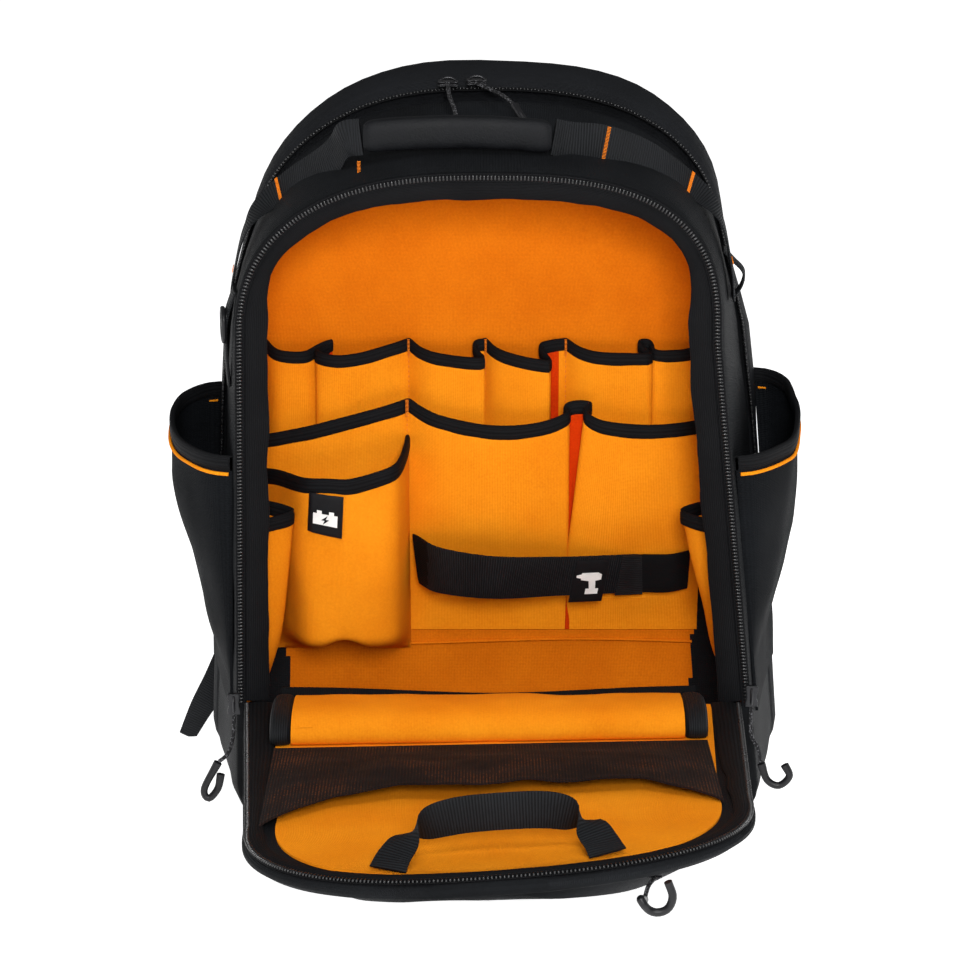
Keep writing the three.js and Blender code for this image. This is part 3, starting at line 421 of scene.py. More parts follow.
def dress(piece, finish, node=None, slot=None):
    piece.data.materials.clear()
    piece.data.materials.append(finish)
    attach(piece, "root")
    if node:
        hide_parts(node)
    slot or node
    print(piece.name, len(piece.data.polygons), "faces, in", finish.name)
    return piece


# %% [markdown]
# ## Lines and frames
# Bindings, cords, webbing and zips all follow a line. A smooth line is drawn through a few
# points, then read at even steps, and each step gets its own three directions.

# %% lines
FRONT, DOWN = (0, -1, 0), np.array([0, 0, -1.0])


def even(points, count):
    points = np.array(points, float)
    steps = np.r_[0, np.cumsum(np.linalg.norm(np.diff(points, axis=0), axis=1))]
    where = np.linspace(0, steps[-1], count + 1)
    return np.stack([np.interp(where, steps, points[:, k]) for k in range(points.shape[1])], axis=1)


def spline(points, count):
    p = np.array(points, float)
    p = np.vstack([2 * p[0] - p[1], p, 2 * p[-1] - p[-2]])
    out = []
    for i in range(1, len(p) - 2):
        for t in np.arange(24) / 24:
            straight = 2 * p[i] + (p[i + 1] - p[i - 1]) * t
            bend = (2 * p[i - 1] - 5 * p[i] + 4 * p[i + 1] - p[i + 2]) * t * t
            turn = (3 * p[i] - p[i - 1] - 3 * p[i + 1] + p[i + 2]) * t ** 3
            out.append((straight + bend + turn) / 2)
    out.append(p[-2])
    return even(out, count)


def unit(vectors):
    vectors = np.array(vectors, float)
    return vectors / np.maximum(np.linalg.norm(vectors, axis=-1, keepdims=True), 1e-9)


def frames(points, across):
    """Along, across and outward directions at each point, across given roughly"""
    along = unit(np.gradient(np.array(points, float), axis=0))
    across = np.array(across, float)
    across = unit(across - (across * along).sum(axis=1, keepdims=True) * along)
    return along, across, np.cross(along, across)


def read(line, t):
    """A point of a table of rows at a fraction t of its rows"""
    place = np.clip(t, 0, 1) * (len(line) - 1)
    low = min(int(place), len(line) - 2)
    return line[low] + (line[low + 1] - line[low]) * (place - low)


def column(rows, value, which=1):
    return float(np.interp(value, [r[0] for r in rows], [r[which] for r in rows]))


def smooth(t):
    t = min(1.0, max(0.0, t))
    return t * t * (3 - 2 * t)


def lerp(a, b, t):
    return a + (b - a) * t


def soft(x, y, z, size, depth):
    return noise.noise(Vector((x, y, z)) / size) * depth


print("a quarter circle in 24 steps", round(path_length(spline([(0, 1), (0.7, 0.7), (1, 0)], 24)), 3))

# %% [markdown]
# ## Tubes and bands
# A cord is a grid rolled into a tube whose rings stay square to the line, without twist. A band
# of webbing is a sheet that follows its line, thinner at its two edges than in the middle.

# %% tubes and bands
def oval(turn, wide_power, high_power):
    """A place on a circle that is pulled out towards a rounded box"""
    c, s = math.cos(turn), math.sin(turn)
    return math.copysign(abs(c) ** wide_power, c), math.copysign(abs(s) ** high_power, s)


def tube(name, points, diameter, sides=12):
    points = np.array(points, float)
    along = unit(np.gradient(points, axis=0))
    side = unit(np.cross(along[0], (0.3, 0.2, 1.0)))
    sides_at = []
    for way in along:
        side = unit(side - (side * way).sum() * way)
        sides_at.append(side)
    other = np.cross(along, sides_at)
    sides_at = np.array(sides_at)
    last = len(points) - 1

    def place(u, v, _):
        i = round(v * last)
        turn = u * math.tau
        wide = diameter(v) if callable(diameter) else diameter
        return points[i] + (sides_at[i] * math.cos(turn) + other[i] * math.sin(turn)) * wide / 2

    return loft(name, (sides, last), place)


def rail(points, across, steps):
    """A line with the direction across it and the one outward at each step"""
    line = spline(points, steps)
    wide = np.array([read(np.array(across, float), t) for t in np.linspace(0, 1, steps + 1)])
    _, wide, outward = frames(line, wide)
    return line, wide, outward


def band(name, points, across, width, thickness, steps, cells=6):
    points, across, outward = rail(points, across, steps)

    def place(u, v, side):
        i = round(v * steps)
        wide = width(v) if callable(width) else width
        edge = 1 - 0.55 * abs(2 * u - 1) ** 8
        return points[i] + across[i] * (u - 0.5) * wide + outward[i] * (side - 0.5) * thickness * edge

    return cloth(name, (cells, steps), place)


# %% [markdown]
# ## Copies and joins
# What repeats along a line, such as a tooth or a stitch, is modelled once. Its corners are then
# written again at every spot, turned to the directions of the line there.

# %% copies
def repeated(name, unit_piece, spots, along, across, outward):
    """Copies a small piece to every spot: x runs across, y along and z outward"""
    corners = np.array([v.co for v in unit_piece.data.vertices])
    faces = [list(p.vertices) for p in unit_piece.data.polygons]
    points, all_faces = [], []
    for k, (spot, a, b, c) in enumerate(zip(spots, across, along, outward)):
        points.append(spot * MM + corners[:, :1] * a + corners[:, 1:2] * b + corners[:, 2:] * c)
        all_faces += [[i + k * len(corners) for i in face] for face in faces]
    mesh = bpy.data.meshes.new(name)
    mesh.from_pydata(np.vstack(points).tolist(), [], all_faces)
    piece = bpy.data.objects.new(name, mesh)
    bpy.context.collection.objects.link(piece)
    return finish_mesh(piece, 50)


def join(first, *others):
    take(first)
    for other in others:
        other.select_set(True)
    bpy.ops.object.join()
    return first


# %% [markdown]
# ## The body's measures
# The outline of the backpack is read from the same short table as its solids: half widths and
# height at each depth. A rounded arch tops it, a little fuller on the right than on the left.

# %% body measures
GAP, OPENING_Y, DIVIDER_Y, BACK_Y, HINGE_Z = 0.35, -75, 19, 70, 80
CORNER_R, WALL, LEFT_POWER, RIGHT_POWER = 28, 3, 2.4, 2.6
SHOULDER_Z, SHOULDER_SPAN = 335, 48
SLICES = {
    "y": (-75, -30, 19, 34, 58, 70),
    "left": (142, 147, 153, 157, 160, 156), "right": (140, 149, 159, 166, 170, 165),
    "base_left": (147, 156, 165, 168, 168, 163), "base_right": (168, 175, 184, 187, 188, 182),
    "spring": (305, 290, 270, 260, 250, 250), "top": (406, 415, 428, 439, 446, 441),
    "left_power": (2.45, 2.42, 2.4, 2.39, 2.38, 2.38), "right_power": (2.9, 2.75, 2.65, 2.7, 2.74, 2.74),
    "left_in": (0, 2, 4, 6, 7, 7), "right_in": (0, 2, 7, 11, 14, 14),
}


def slice_at(y):
    return {name: float(np.interp(y, SLICES["y"], row)) for name, row in SLICES.items()}


def arch(right, left, spring_right, spring_left, top, steps=20, powers=(RIGHT_POWER, LEFT_POWER)):
    points = []
    for i in range(steps + 1):
        a = i / steps * math.pi / 2
        points.append((right * max(math.cos(a), 0) ** (2 / powers[0]),
                       spring_right + (top - spring_right) * math.sin(a) ** (2 / powers[0])))
    for i in range(1, steps + 1):
        a = (1 - i / steps) * math.pi / 2
        points.append((-left * max(math.cos(a), 0) ** (2 / powers[1]),
                       spring_left + (top - spring_left) * max(math.sin(a), 0) ** (2 / powers[1])))
    return points


def draw_in(s, x, z):
    share = math.exp(-((z - SHOULDER_Z) / SHOULDER_SPAN) ** 2) * min(1, abs(x) / 90)
    return x - math.copysign(share * (s["left_in"] if x < 0 else s["right_in"]), x)


def body_arch(s, inward=0.0):
    points = arch(s["right"] - inward, s["left"] - inward, s["spring"], s["spring"], s["top"] - inward,
                  powers=(s["right_power"], s["left_power"]))
    return [(draw_in(s, x, z), z) for x, z in points]


def moved(points, distance, closed=True):
    p = np.array(points, float)
    if closed:
        way = np.roll(p, -1, axis=0) - np.roll(p, 1, axis=0)
    else:
        way = np.gradient(p, axis=0)
    way = unit(way)
    return p + np.stack([-way[:, 1], way[:, 0]], axis=1) * np.array(distance).reshape(-1, 1)


def outline(y, inward=0.0):
    s = slice_at(y)
    points = []
    for i in range(7):
        a = i / 6 * math.pi / 2
        points.append((s["base_right"] - CORNER_R + math.sin(a) * CORNER_R, CORNER_R - math.cos(a) * CORNER_R))
    for i in range(1, 12):
        x, z = lerp(s["base_right"], s["right"], i / 12), lerp(CORNER_R, s["spring"], i / 12)
        points.append((draw_in(s, x, z), z))
    points += body_arch(s)
    for i in range(11, 0, -1):
        x, z = -lerp(s["base_left"], s["left"], i / 12), lerp(CORNER_R, s["spring"], i / 12)
        points.append((draw_in(s, x, z), z))
    for i in range(6, -1, -1):
        a = i / 6 * math.pi / 2
        points.append((CORNER_R - s["base_left"] - math.sin(a) * CORNER_R, CORNER_R - math.cos(a) * CORNER_R))
    low_left, low_right = points[-1][0], points[0][0]
    for i in range(1, 12):
        points.append((lerp(low_left, low_right, i / 12), 0.0))
    return moved(points, inward) if inward else np.array(points)


def side_x(y, z, sign):
    s = slice_at(y)
    word = "left" if sign < 0 else "right"
    half, base, power = s[word], s["base_" + word], s[word + "_power"]
    if z < s["spring"]:
        share = min(1, max(0, (z - CORNER_R) / (s["spring"] - CORNER_R)))
        return draw_in(s, sign * lerp(base, half, share), z)
    rise = min(1, max(0, (z - s["spring"]) / (s["top"] - s["spring"])))
    return draw_in(s, sign * half * (1 - rise ** power) ** (1 / power), z)


def top_z(x, y):
    s = slice_at(y)
    word = "left" if x < 0 else "right"
    half, power = s[word], s[word + "_power"]
    return s["spring"] + (s["top"] - s["spring"]) * (1 - min(abs(x) / half, 0.999) ** power) ** (1 / power)


def opening_line(low_z):
    s = slice_at(OPENING_Y)
    edge = COIL_W / 2 + 0.5
    heights = [lerp(low_z, s["spring"], i / 14) for i in range(14)]
    points = [(side_x(OPENING_Y, z, 1) - edge, z) for z in heights]
    points += body_arch(s, edge)
    points += [(side_x(OPENING_Y, z, -1) + edge, z) for z in reversed(heights)]
    return np.array(points)


COIL_W, COIL_H = 5, 1.8
print("outline corners", len(outline(0)))

# %% [markdown]
# ## Cords of the zip sliders
# Each slider carries a short speckled cord that ends in a moulded hook. The cords come early,
# and the length of each is measured and printed. A cord is a tube round its own line.

# %% cords
CORD_D, PULL_D, SEAT = 2.4, 4.4, 0.45
slider_y = OPENING_Y - GAP - COIL_H - GAP - 2
rear_zip_y = 24
rear_face = rear_zip_y - 4 - SEAT - 0.35


def rear_top(x):
    return top_z(x, rear_zip_y + COIL_W / 2) + COIL_H + GAP * 2 + 2.5


CORDS = {
    "cord_left": [(-147, slider_y, 83 - 6.5 - SEAT), (-148, -84, 62), (-151, -88, 54), (-156, -90, 50)],
    "cord_right": [(162, slider_y, 88 - 6.5 - SEAT), (162, -85, 66), (166, -88, 58), (168, -89, 49)],
    "rear_cord_left": [(-19, rear_face, rear_top(-15)), (-18, 4, 434), (-15, -14, 430), (-13, -30, 424)],
    "rear_cord_right": [(-2, rear_face, rear_top(-1)), (6, 8, 437), (14, -2, 435), (20, -9, 431)],
}
HOOKS = {
    "pull_left": ("cord_left", [(-165, -91, 33), (-162.5, -92, 27), (-157, -91, 33), (-155, -90, 42)]),
    "pull_right": ("cord_right", [(172, -90, 38), (179, -91, 35), (185, -91, 41), (182, -90, 48)]),
    "rear_pull": ("rear_cord_right", [(23, -15, 427.5), (26, -19, 424), (29, -23, 421)]),
}
for name, points in CORDS.items():
    line = spline(points, 18)
    dress(tube(name + "_braid", line, CORD_D, 10), speckled_braid, name)
hooks = {}
for name, (cord, points) in HOOKS.items():
    last = np.array(CORDS[cord][-1], float)
    way = unit(last - np.array(CORDS[cord][-2], float))
    line = spline([last + way * (SEAT + 0.25)] + points, 30)
    thick = lambda v: PULL_D * (1 + 0.16 * math.cos(v * math.pi) ** 8)
    hooks[name] = dress(tube(name + "_hook", line, thick, 12), pull_rubber, name)
for name in CORDS:
    line = spline(CORDS[name], 18) * MM
    length = path_length(line)
    ends = [hooks[hook] for hook, (cord, _) in HOOKS.items() if cord == name]
    tuple(line[0])
    [tuple(p) for p in line]
    print(name, round(length * 1000, 1), "mm")

# %% [markdown]
# ## Main compartment
# A black gusset joins the opening to the divider. Its cloth is drawn here as one skin that
# starts at the opening's edge, turns over the rim and runs back to the divider.

# %% main compartment
ring_count = len(outline(0))


def gusset_rows():
    front, back = outline(OPENING_Y), outline(DIVIDER_Y)
    hole = outline(OPENING_Y, 6.0)
    hole[:, 1] = np.maximum(hole[:, 1], HINGE_Z)
    hole[:, 0] = np.clip(hole[:, 0], side_x(OPENING_Y, HINGE_Z, -1) + 6, side_x(OPENING_Y, HINGE_Z, 1) - 6)
    rows = [(hole, -72), (hole, -74.4), (hole + unit(front - hole) * 0.8, -75)]
    rows += [(outline(OPENING_Y, 2.2), -75), (outline(OPENING_Y, 0.7), -74.6), (front, -73.4)]
    rows += [(outline(y), y) for y in (-70, -66, -60, -52, -44, -36, -28, -20, -12, -4, 4, 10, 14, 17)]
    rows += [(back, 18.7), (outline(DIVIDER_Y, 3.0), 19), (back * 0.6 + np.array([0, 90]), 19)]
    return rows


rows = gusset_rows()


def gusset_place(u, v, _):
    points, y = rows[round(v * (len(rows) - 1))]
    i = round(u * ring_count) % ring_count
    x, z = points[i]
    if -70 <= y < 18 and z > 12:
        out = unit(np.array([x, z - 180.0]))
        crown = 0.9 * math.sin((y - OPENING_Y) / (DIVIDER_Y - OPENING_Y) * math.pi)
        puff = soft(x, y * 1.6, z, 52, 1.5) + soft(x, y, z, 21, 0.45) + crown
        x, z = x + out[0] * puff, z + out[1] * puff
    return x, y, z


gusset = loft("gusset_cloth", (ring_count, len(rows) - 1), gusset_place, ends=False)
take(gusset)
wall = gusset.modifiers.new("wall", "SOLIDIFY")
wall.thickness, wall.offset = 1.4 * MM, -1
bpy.ops.object.modifier_apply(modifier="wall")
dress(gusset, black_cloth, "main_compartment")
print("gusset faces", len(gusset.data.polygons))

# %% [markdown]
# ## Lining
# The lining is a bag of orange cloth inside the gusset. It hangs a little loose, so its walls
# carry shallow folds that are deeper near the corners. The back wall is a sheet of its own, in
# the same orange painted deeper as painted shade, with black cloth sewn in low at both sides:
# the same mesh takes two finishes, face by face.

# %% lining
LINING_IN = WALL + GAP
WALL_Y = DIVIDER_Y - WALL - GAP - 1.5 - GAP


def paint(piece, finish, test):
    """Gives a second finish to the faces whose place on the sheet, 0 to 1 each way, passes the test"""
    slot = len(piece.data.materials)
    piece.data.materials.append(finish)
    uv = np.array([loop.uv[:] for loop in piece.data.uv_layers.active.data])
    uv = uv / np.maximum(uv.max(axis=0), 1e-9)
    for face in piece.data.polygons:
        u, v = uv[list(face.loop_indices)].mean(axis=0)
        centre = face.center / MM
        if test(u, v, centre):
            face.material_index = slot
    return piece


def lining_walls(u, v, side):
    y = lerp(-68, DIVIDER_Y - WALL - GAP - 0.3, v)
    points = outline(y, LINING_IN + side * 1.3)
    x, z = points[round(u * ring_count) % ring_count]
    inward = unit(np.array([-x, 190.0 - z]))
    bag = 19 * math.exp(-((z - 268) / 34) ** 2) if x < 0 else 15 * math.exp(-((z - 262) / 34) ** 2)
    loose = max(0.0, soft(x, y * 2.2, z, 34, 2.6) + soft(x, y, z, 15, 0.7)) + bag * smooth(abs(x) / 60 - 1)
    loose *= math.sin(math.pi * min(1, v * 1.05))
    return x + inward[0] * loose, y, z + inward[1] * loose


def lining_back(u, v, side):
    z = lerp(4.5, 408, v ** 0.9)
    x = lerp(side_x(15, z, -1) + 5, side_x(15, z, 1) - 5, u)
    wave = soft(x, 0, z * 0.5, 46, 1.6) + soft(x * 1.3, 5, z, 20, 0.5)
    return x, DIVIDER_Y - WALL - GAP - 1.5 + side * 1.2 - min(0.3, abs(wave)) - max(0, wave) * 0.8, z


dress(cloth("lining_walls", (ring_count, 14), lining_walls), orange_cloth, slot="lining")
# The back wall takes the deeper orange, painted shade, not the lighter orange of the walls.
back_sheet = dress(cloth("lining_cloth", (120, 60), lining_back), wall_shade_orange, "lining")
BLACK_TOP = 262
in_black = lambda u, v, c: c.z < BLACK_TOP and (c.x < lerp(-118, -124, c.z / BLACK_TOP) or c.x > 132)
paint(back_sheet, black_cloth, in_black)

# %% [markdown]
# ## Seam of the back wall
# The lower part of the back wall is a second piece of cloth, sewn on over a thin welt, so a soft
# ridge runs across below the pockets.

# %% seam of the back wall
ridge = [(x, WALL_Y - 1.4, 88 + 1.5 * math.sin(x / 40)) for x in np.linspace(-50, 132, 40)]
# The welt takes the back wall's deeper orange, painted shade.
dress(tube("back_wall_welt", ridge, 1.8, 8), wall_shade_orange, slot="lining")

# %% [markdown]
# ## Zip teeth
# A zip is a tape with a row of moulded teeth. One tooth is modelled from a cube with bevelled
# edges, and copied along the line with its own directions at every step.

# %% zip teeth
def tooth(width, length, height):
    deselect()
    bpy.ops.mesh.primitive_cube_add(size=1)
    made = bpy.context.object
    bpy.ops.object.mode_set(mode="EDIT")
    bpy.ops.mesh.select_all(action="SELECT")
    bpy.ops.transform.resize(value=(width * MM, length * MM, height * MM))
    bpy.ops.mesh.bevel(offset=0.28 * length * MM, segments=1)
    bpy.ops.object.mode_set(mode="OBJECT")
    return made


def zip_row(name, line, outward, pitch=2.1, width=3.0, height=1.5, lift=0.9, both=False):
    count = int(path_length(line) / pitch)
    spots = even(line, count)
    facing = even(outward, count) if len(np.shape(outward)) > 1 else np.tile(outward, (count + 1, 1))
    along = unit(np.gradient(spots, axis=0))
    across = unit(np.cross(along, facing))
    facing = np.cross(across, along)
    if both:
        shift = np.where(np.arange(count + 1) % 2, 0.7, -0.7)[:, None]
        spots = spots + across * shift
    one = tooth(width, pitch * 0.56, height)
    made = repeated(name, one, spots + facing * lift, along, across, facing)
    bpy.data.objects.remove(one)
    return made


EDGE_STEPS = 150
body_line = even(opening_line(HINGE_Z + 3), EDGE_STEPS)
coil_y = OPENING_Y - GAP
coil_line = np.stack([body_line[:, 0], np.full(EDGE_STEPS + 1, coil_y), body_line[:, 1]], axis=1)


def tape_place(u, v, side):
    p = moved(body_line, lerp(-COIL_W / 2, COIL_W / 2, u), closed=False)[round(v * EDGE_STEPS)]
    return p[0], coil_y - 0.45 + side * 0.4, p[1]


body_tape = cloth("body_zip_tape", (3, EDGE_STEPS), tape_place)
body_teeth = zip_row("body_zip_teeth", coil_line, np.array([0, -1, 0.0]))
dress(body_teeth, coil_plastic, "body_zip")
dress(body_tape, binding_tape, slot="body_zip")

# %% [markdown]
# ## Facing of the opening
# A wide black binding covers the cut edges inside the zip. It is sewn by hand and eye, so its
# inner edge wanders by a millimetre.

# %% opening facing
FACING_FROM, FACING_W = 2.2, 14.2
widths = np.array([(80, FACING_W), (320, FACING_W), (352, 9.0), (388, 9.0), (402, 11.5)])
narrow = np.array([column(widths, z) for _, z in body_line])
facing_rows = [moved(body_line, FACING_FROM + narrow * t, closed=False) for t in np.linspace(0, 1, 9)]


def facing_place(u, v, side):
    i, k = round(v * EDGE_STEPS), round(u * 8)
    p = np.array(facing_rows[k][i])
    wander = (soft(p[0], 3, p[1], 24, 1.6) + soft(p[0], 9, p[1], 9, 0.4)) * u
    centre = unit(np.array([-p[0], 240 - p[1]]))
    p = p + centre * wander
    swell = 1.1 * math.sin(math.pi * u) ** 0.7
    depth = lerp(OPENING_Y + 0.6, OPENING_Y + 3, u) + (1.2 if side else -swell * smooth(u * 4))
    return p[0], depth, p[1]


dress(cloth("opening_facing_tape", (8, EDGE_STEPS), facing_place), binding_tape, "opening_facing")

# %% [markdown]
# ## Rear compartment
# The padded rear compartment stands behind the divider and rises above it. Its cloth is ribbed,
# its zip is closed and runs over the top just behind the seam.

# %% rear compartment
rear_rows = [(3.5, 19.4), (1.2, 19.6), (0.2, 20.4), (0.6, 22), (0.9, 24), (0.6, 26), (-0.2, 27.5), (-0.9, 32),
             (-1.2, 38), (-1.2, 46), (-0.9, 54), (-0.2, 60), (1.6, 65), (4.2, 68.4), (8, 70.2), (14, 71)]


def rear_place(u, v, _):
    k = round(v * (len(rear_rows) + 3))
    i = round(u * ring_count) % ring_count
    if k < len(rear_rows):
        inward, y = rear_rows[k]
        x, z = outline(min(y, 70), inward)[i]
        puff = soft(x, y, z, 60, 1.2) * smooth((y - 24) / 8) * smooth(z / 30)
        out = unit(np.array([x, z - 200.0]))
        return x + out[0] * puff, y, max(0.0, z + out[1] * puff)
    scale = (0.86, 0.6, 0.3, 0.0)[k - len(rear_rows)]
    x, z = outline(70, 14)[i]
    return x * scale, 71.2, 205 + (z - 205) * scale


rear = loft("rear_compartment_cloth", (ring_count, len(rear_rows) + 3), rear_place)
dress(rear, ribbed_cloth, "rear_compartment")
rear_line = outline(rear_zip_y + 2.5)
rear_line = rear_line[rear_line[:, 1] > 92]
REAR_STEPS = 160
rear_line = even(rear_line, REAR_STEPS)
rear_path = np.array([[x, rear_zip_y, z] for x, z in moved(rear_line, -GAP, closed=False)])
rear_way = rear_line - moved(rear_line, 1, False)
rear_out = np.stack([rear_way[:, 0], np.zeros(REAR_STEPS + 1), rear_way[:, 1]], axis=1)
dress(zip_row("rear_zip_teeth", rear_path, rear_out, width=3.2, both=True), coil_plastic, "rear_zip")


def rear_tape(u, v, side):
    i = round(v * REAR_STEPS)
    p = rear_path[i] + rear_out[i] * (0.25 + 0.4 * side)
    return p[0], rear_zip_y + (u - 0.5) * 9, p[2]


dress(cloth("rear_zip_tape", (2, REAR_STEPS), rear_tape), binding_tape, slot="rear_zip")

# %% [markdown]
# ## Front panel
# The panel folds down about its lower edge and lies forward, rising a little and leaning to one
# side. Everything on it is measured across, outward from the hinge, and up from its face.

# %% panel measures
PANEL_LENGTH, PANEL_THICK, TWIST = 322, 8, 0.075
RISE = math.radians(6)
LEFT0, LEFT1, RIGHT0, RIGHT1, SPRING_LEFT, SPRING_RIGHT = 142, 127, 157, 147, 215, 205
TOP_H = GAP * 2 + 1.2


def on_panel(x, s, h):
    y = OPENING_Y - 1 - s * math.cos(RISE) + h * math.sin(RISE)
    lean = TWIST * x * s / PANEL_LENGTH
    return np.array([x, y, HINGE_Z + s * math.sin(RISE) + h * math.cos(RISE) + lean])


def panel_half(s, sign):
    if sign < 0:
        return lerp(LEFT0, LEFT1, min(1, max(0, s / SPRING_LEFT)))
    return lerp(RIGHT0, RIGHT1, min(1, max(0, s / SPRING_RIGHT)))


def panel_edge(s, sign):
    spring, power = (SPRING_LEFT, LEFT_POWER) if sign < 0 else (SPRING_RIGHT, RIGHT_POWER)
    t = min(1, max(0, (s - spring) / (PANEL_LENGTH - spring)))
    return sign * panel_half(s, sign) * (1 - t ** power) ** (1 / power)


rim = [(panel_half(SPRING_RIGHT * i / 12, 1), SPRING_RIGHT * i / 12) for i in range(12)]
rim += arch(RIGHT1, LEFT1, SPRING_RIGHT, SPRING_LEFT, PANEL_LENGTH)
rim += [(-panel_half(SPRING_LEFT * i / 12, -1), SPRING_LEFT * i / 12) for i in range(11, -1, -1)]
rim = even(rim, EDGE_STEPS)
print("panel edge", round(path_length(rim)), "mm")


def plate_spot(u, v, away, start):
    s = lerp(start, PANEL_LENGTH * 0.997, math.sin(v * math.pi / 2) ** 0.9)
    end = lerp(s, s - away, min(1, max(0, (s - start) / (PANEL_LENGTH - start))) ** 2)
    left, right = min(panel_edge(s, -1) + away, -6), max(panel_edge(s, 1) - away, 6)
    return lerp(left, right, u), end, min(u, 1 - u) * (right - left), (1 - v) * (PANEL_LENGTH - start) * 0.8


def panel_place(u, v, side):
    x, s, from_side, from_end = plate_spot(u, v, 0, 0)
    near = min(from_side, from_end, 9.0) / 9.0
    round_off = math.sqrt(max(0.0, 1 - (1 - near) ** 2))
    middle = -PANEL_THICK / 2
    half = PANEL_THICK / 2 if side else -PANEL_THICK / 2
    return on_panel(x, s, middle + half * (0.25 + 0.75 * round_off))


dress(cloth("front_panel_cloth", (56, 60), panel_place), black_cloth, "front_panel")


def panel_strip(name, start, width, lift, thick, cells, swell=0.0, wander=0.0):
    end = width if callable(width) else (lambda t: width)

    def place(u, v, side):
        i = round(v * EDGE_STEPS)
        t = i / EDGE_STEPS
        reach = start + end(t) * u
        p = moved(rim, reach, closed=False)[i]
        p = p + unit(np.array([-p[0], 160 - p[1]])) * soft(p[0], 2, p[1], 22, wander) * u
        h = lift + (thick + swell * math.sin(math.pi * u) ** 0.7 if side else 0)
        return on_panel(p[0], max(p[1], 0.5), h)

    return cloth(name, (cells, EDGE_STEPS), place)


dress(panel_strip("panel_zip_tape", 1, COIL_W, GAP, 0.5, 2), binding_tape, slot="panel_zip")
far_end = lambda t: smooth((0.5 - abs(t - 0.5)) / 0.34)
dress(panel_strip("panel_facing_tape", 3.6, lambda t: lerp(15.5, 7.5, far_end(t)), GAP + 0.5, 1.2, 6, 1.0, 1.4),
      binding_tape, "panel_facing")
panel_coil = np.array([on_panel(x, max(s, 0.5), GAP + 0.4) for x, s in moved(rim, 2.4, closed=False)])
panel_up = unit(on_panel(0, 0, 1) - on_panel(0, 0, 0))
dress(zip_row("panel_zip_teeth", panel_coil, panel_up), coil_plastic, "panel_zip")


def panel_lining_place(u, v, side):
    away = 1 + COIL_W + 2 * GAP + lerp(14, 6.5, smooth((v - 0.35) * 2))
    x, s, _, _ = plate_spot(u, v, away - 2, 1)
    fold = max(0.0, soft(x, s * 0.8, 7, 38, 2.6) + soft(x, s, 3, 17, 0.8))
    fold *= smooth(min(u, 1 - u, 1 - v) * 7)
    return on_panel(x, s, GAP + (1.2 if side else 0) + (fold * 0.5 if side else 0))


dress(cloth("panel_lining_cloth", (60, 60), panel_lining_place), orange_cloth, "panel_lining")

# %% [markdown]
# ## Lip pocket
# A padded orange pocket lies across the hinge end. A cloth simulation would puff it most truly;
# this script runs none, and lofts the pocket from one side view instead, full at the top and
# rolled over at the front. Its ends are bound with ribbed webbing.

# %% lip pocket
LIP_START, LIP_END, LIP_HIGH = 12, 84, 16
lip_view = spline([(0, 0.02), (0.02, 0.4), (0.12, 0.7), (0.3, 0.88), (0.5, 0.97), (0.68, 1.0), (0.84, 0.93),
                   (0.95, 0.68), (1.0, 0.36), (0.99, 0.1), (0.96, 0.0)], 30)


def lip_ring(x, t, grow=0.0):
    a, b = read(lip_view, t)
    s = lerp(LIP_START - grow, LIP_END + grow, a)
    return s, TOP_H + b * (LIP_HIGH + grow)


def lip_place(u, v, _):
    x = lerp(-108.6, 117.6, v)
    s, h = lip_ring(x, u)
    sag = soft(x, s, 4, 42, 1.4) + soft(x, s, 9, 16, 0.5)
    return on_panel(x, s, max(TOP_H, h + sag * smooth((h - TOP_H) / 8)))


dress(loft("lip_pocket_cloth", (34, 70), lip_place), orange_cloth, "lip_pocket")
for word, x0, x1 in (("left", -121, -109), ("right", 118, 131)):
    def end_place(u, v, _, x0=x0, x1=x1):
        x = lerp(x0, x1, v)
        s, h = lip_ring(x, u, 0.9)
        pinch = 0.86 + 0.14 * math.sin(math.pi * min(1, max(0, v))) ** 0.3
        return on_panel(x, lerp((LIP_START + LIP_END) / 2, s, pinch), TOP_H + (h - TOP_H) * pinch)
    dress(loft(f"lip_end_{word}_tape", (34, 8), end_place), webbing, f"lip_end_{word}")


def lip_binding_place(u, v, side):
    x = lerp(-118, 128, u)
    sag = 3 * math.sin(math.pi * u) - 0.8 * math.sin(u * 9)
    return on_panel(x, LIP_START - 2.2 + side * 1.6, TOP_H + 4 - sag + v * 9)


dress(cloth("lip_binding_tape", (60, 4), lip_binding_place), binding_tape, "lip_binding")

# %% [markdown]
# ## Mesh pocket
# The knitted pocket is caught at the lip and along its sides. Its free edge is loose and waves
# over the lining.

# %% mesh pocket
MESH_EDGE = [(-122, 226), (-104, 213), (-81, 196), (-44, 186), (0, 194), (33, 189), (88, 186), (114, 204),
             (136, 220)]


def mesh_place(u, v, side):
    x = lerp(-118, 130, u)
    s = lerp(90, column(MESH_EDGE, x), v)
    swell = 9 * math.sin(math.pi * min(1, max(0, u))) ** 0.5 * smooth(v * 1.4)
    ripple = soft(x, s * 0.6, 1, 30, 3.0) + soft(x, s, 6, 13, 0.8)
    ripple *= smooth(v * 2) * smooth(min(u, 1 - u) * 9)
    return on_panel(x, s, TOP_H + max(0, swell + ripple) + (1.3 if side else 0))


dress(cloth("mesh_pocket_knit", (84, 34), mesh_place), knitted_mesh, "mesh_pocket")

# %% [markdown]
# ## Webbing loop
# A wide webbing loop stands at the far end of the panel, both ends sewn flat to the lining.

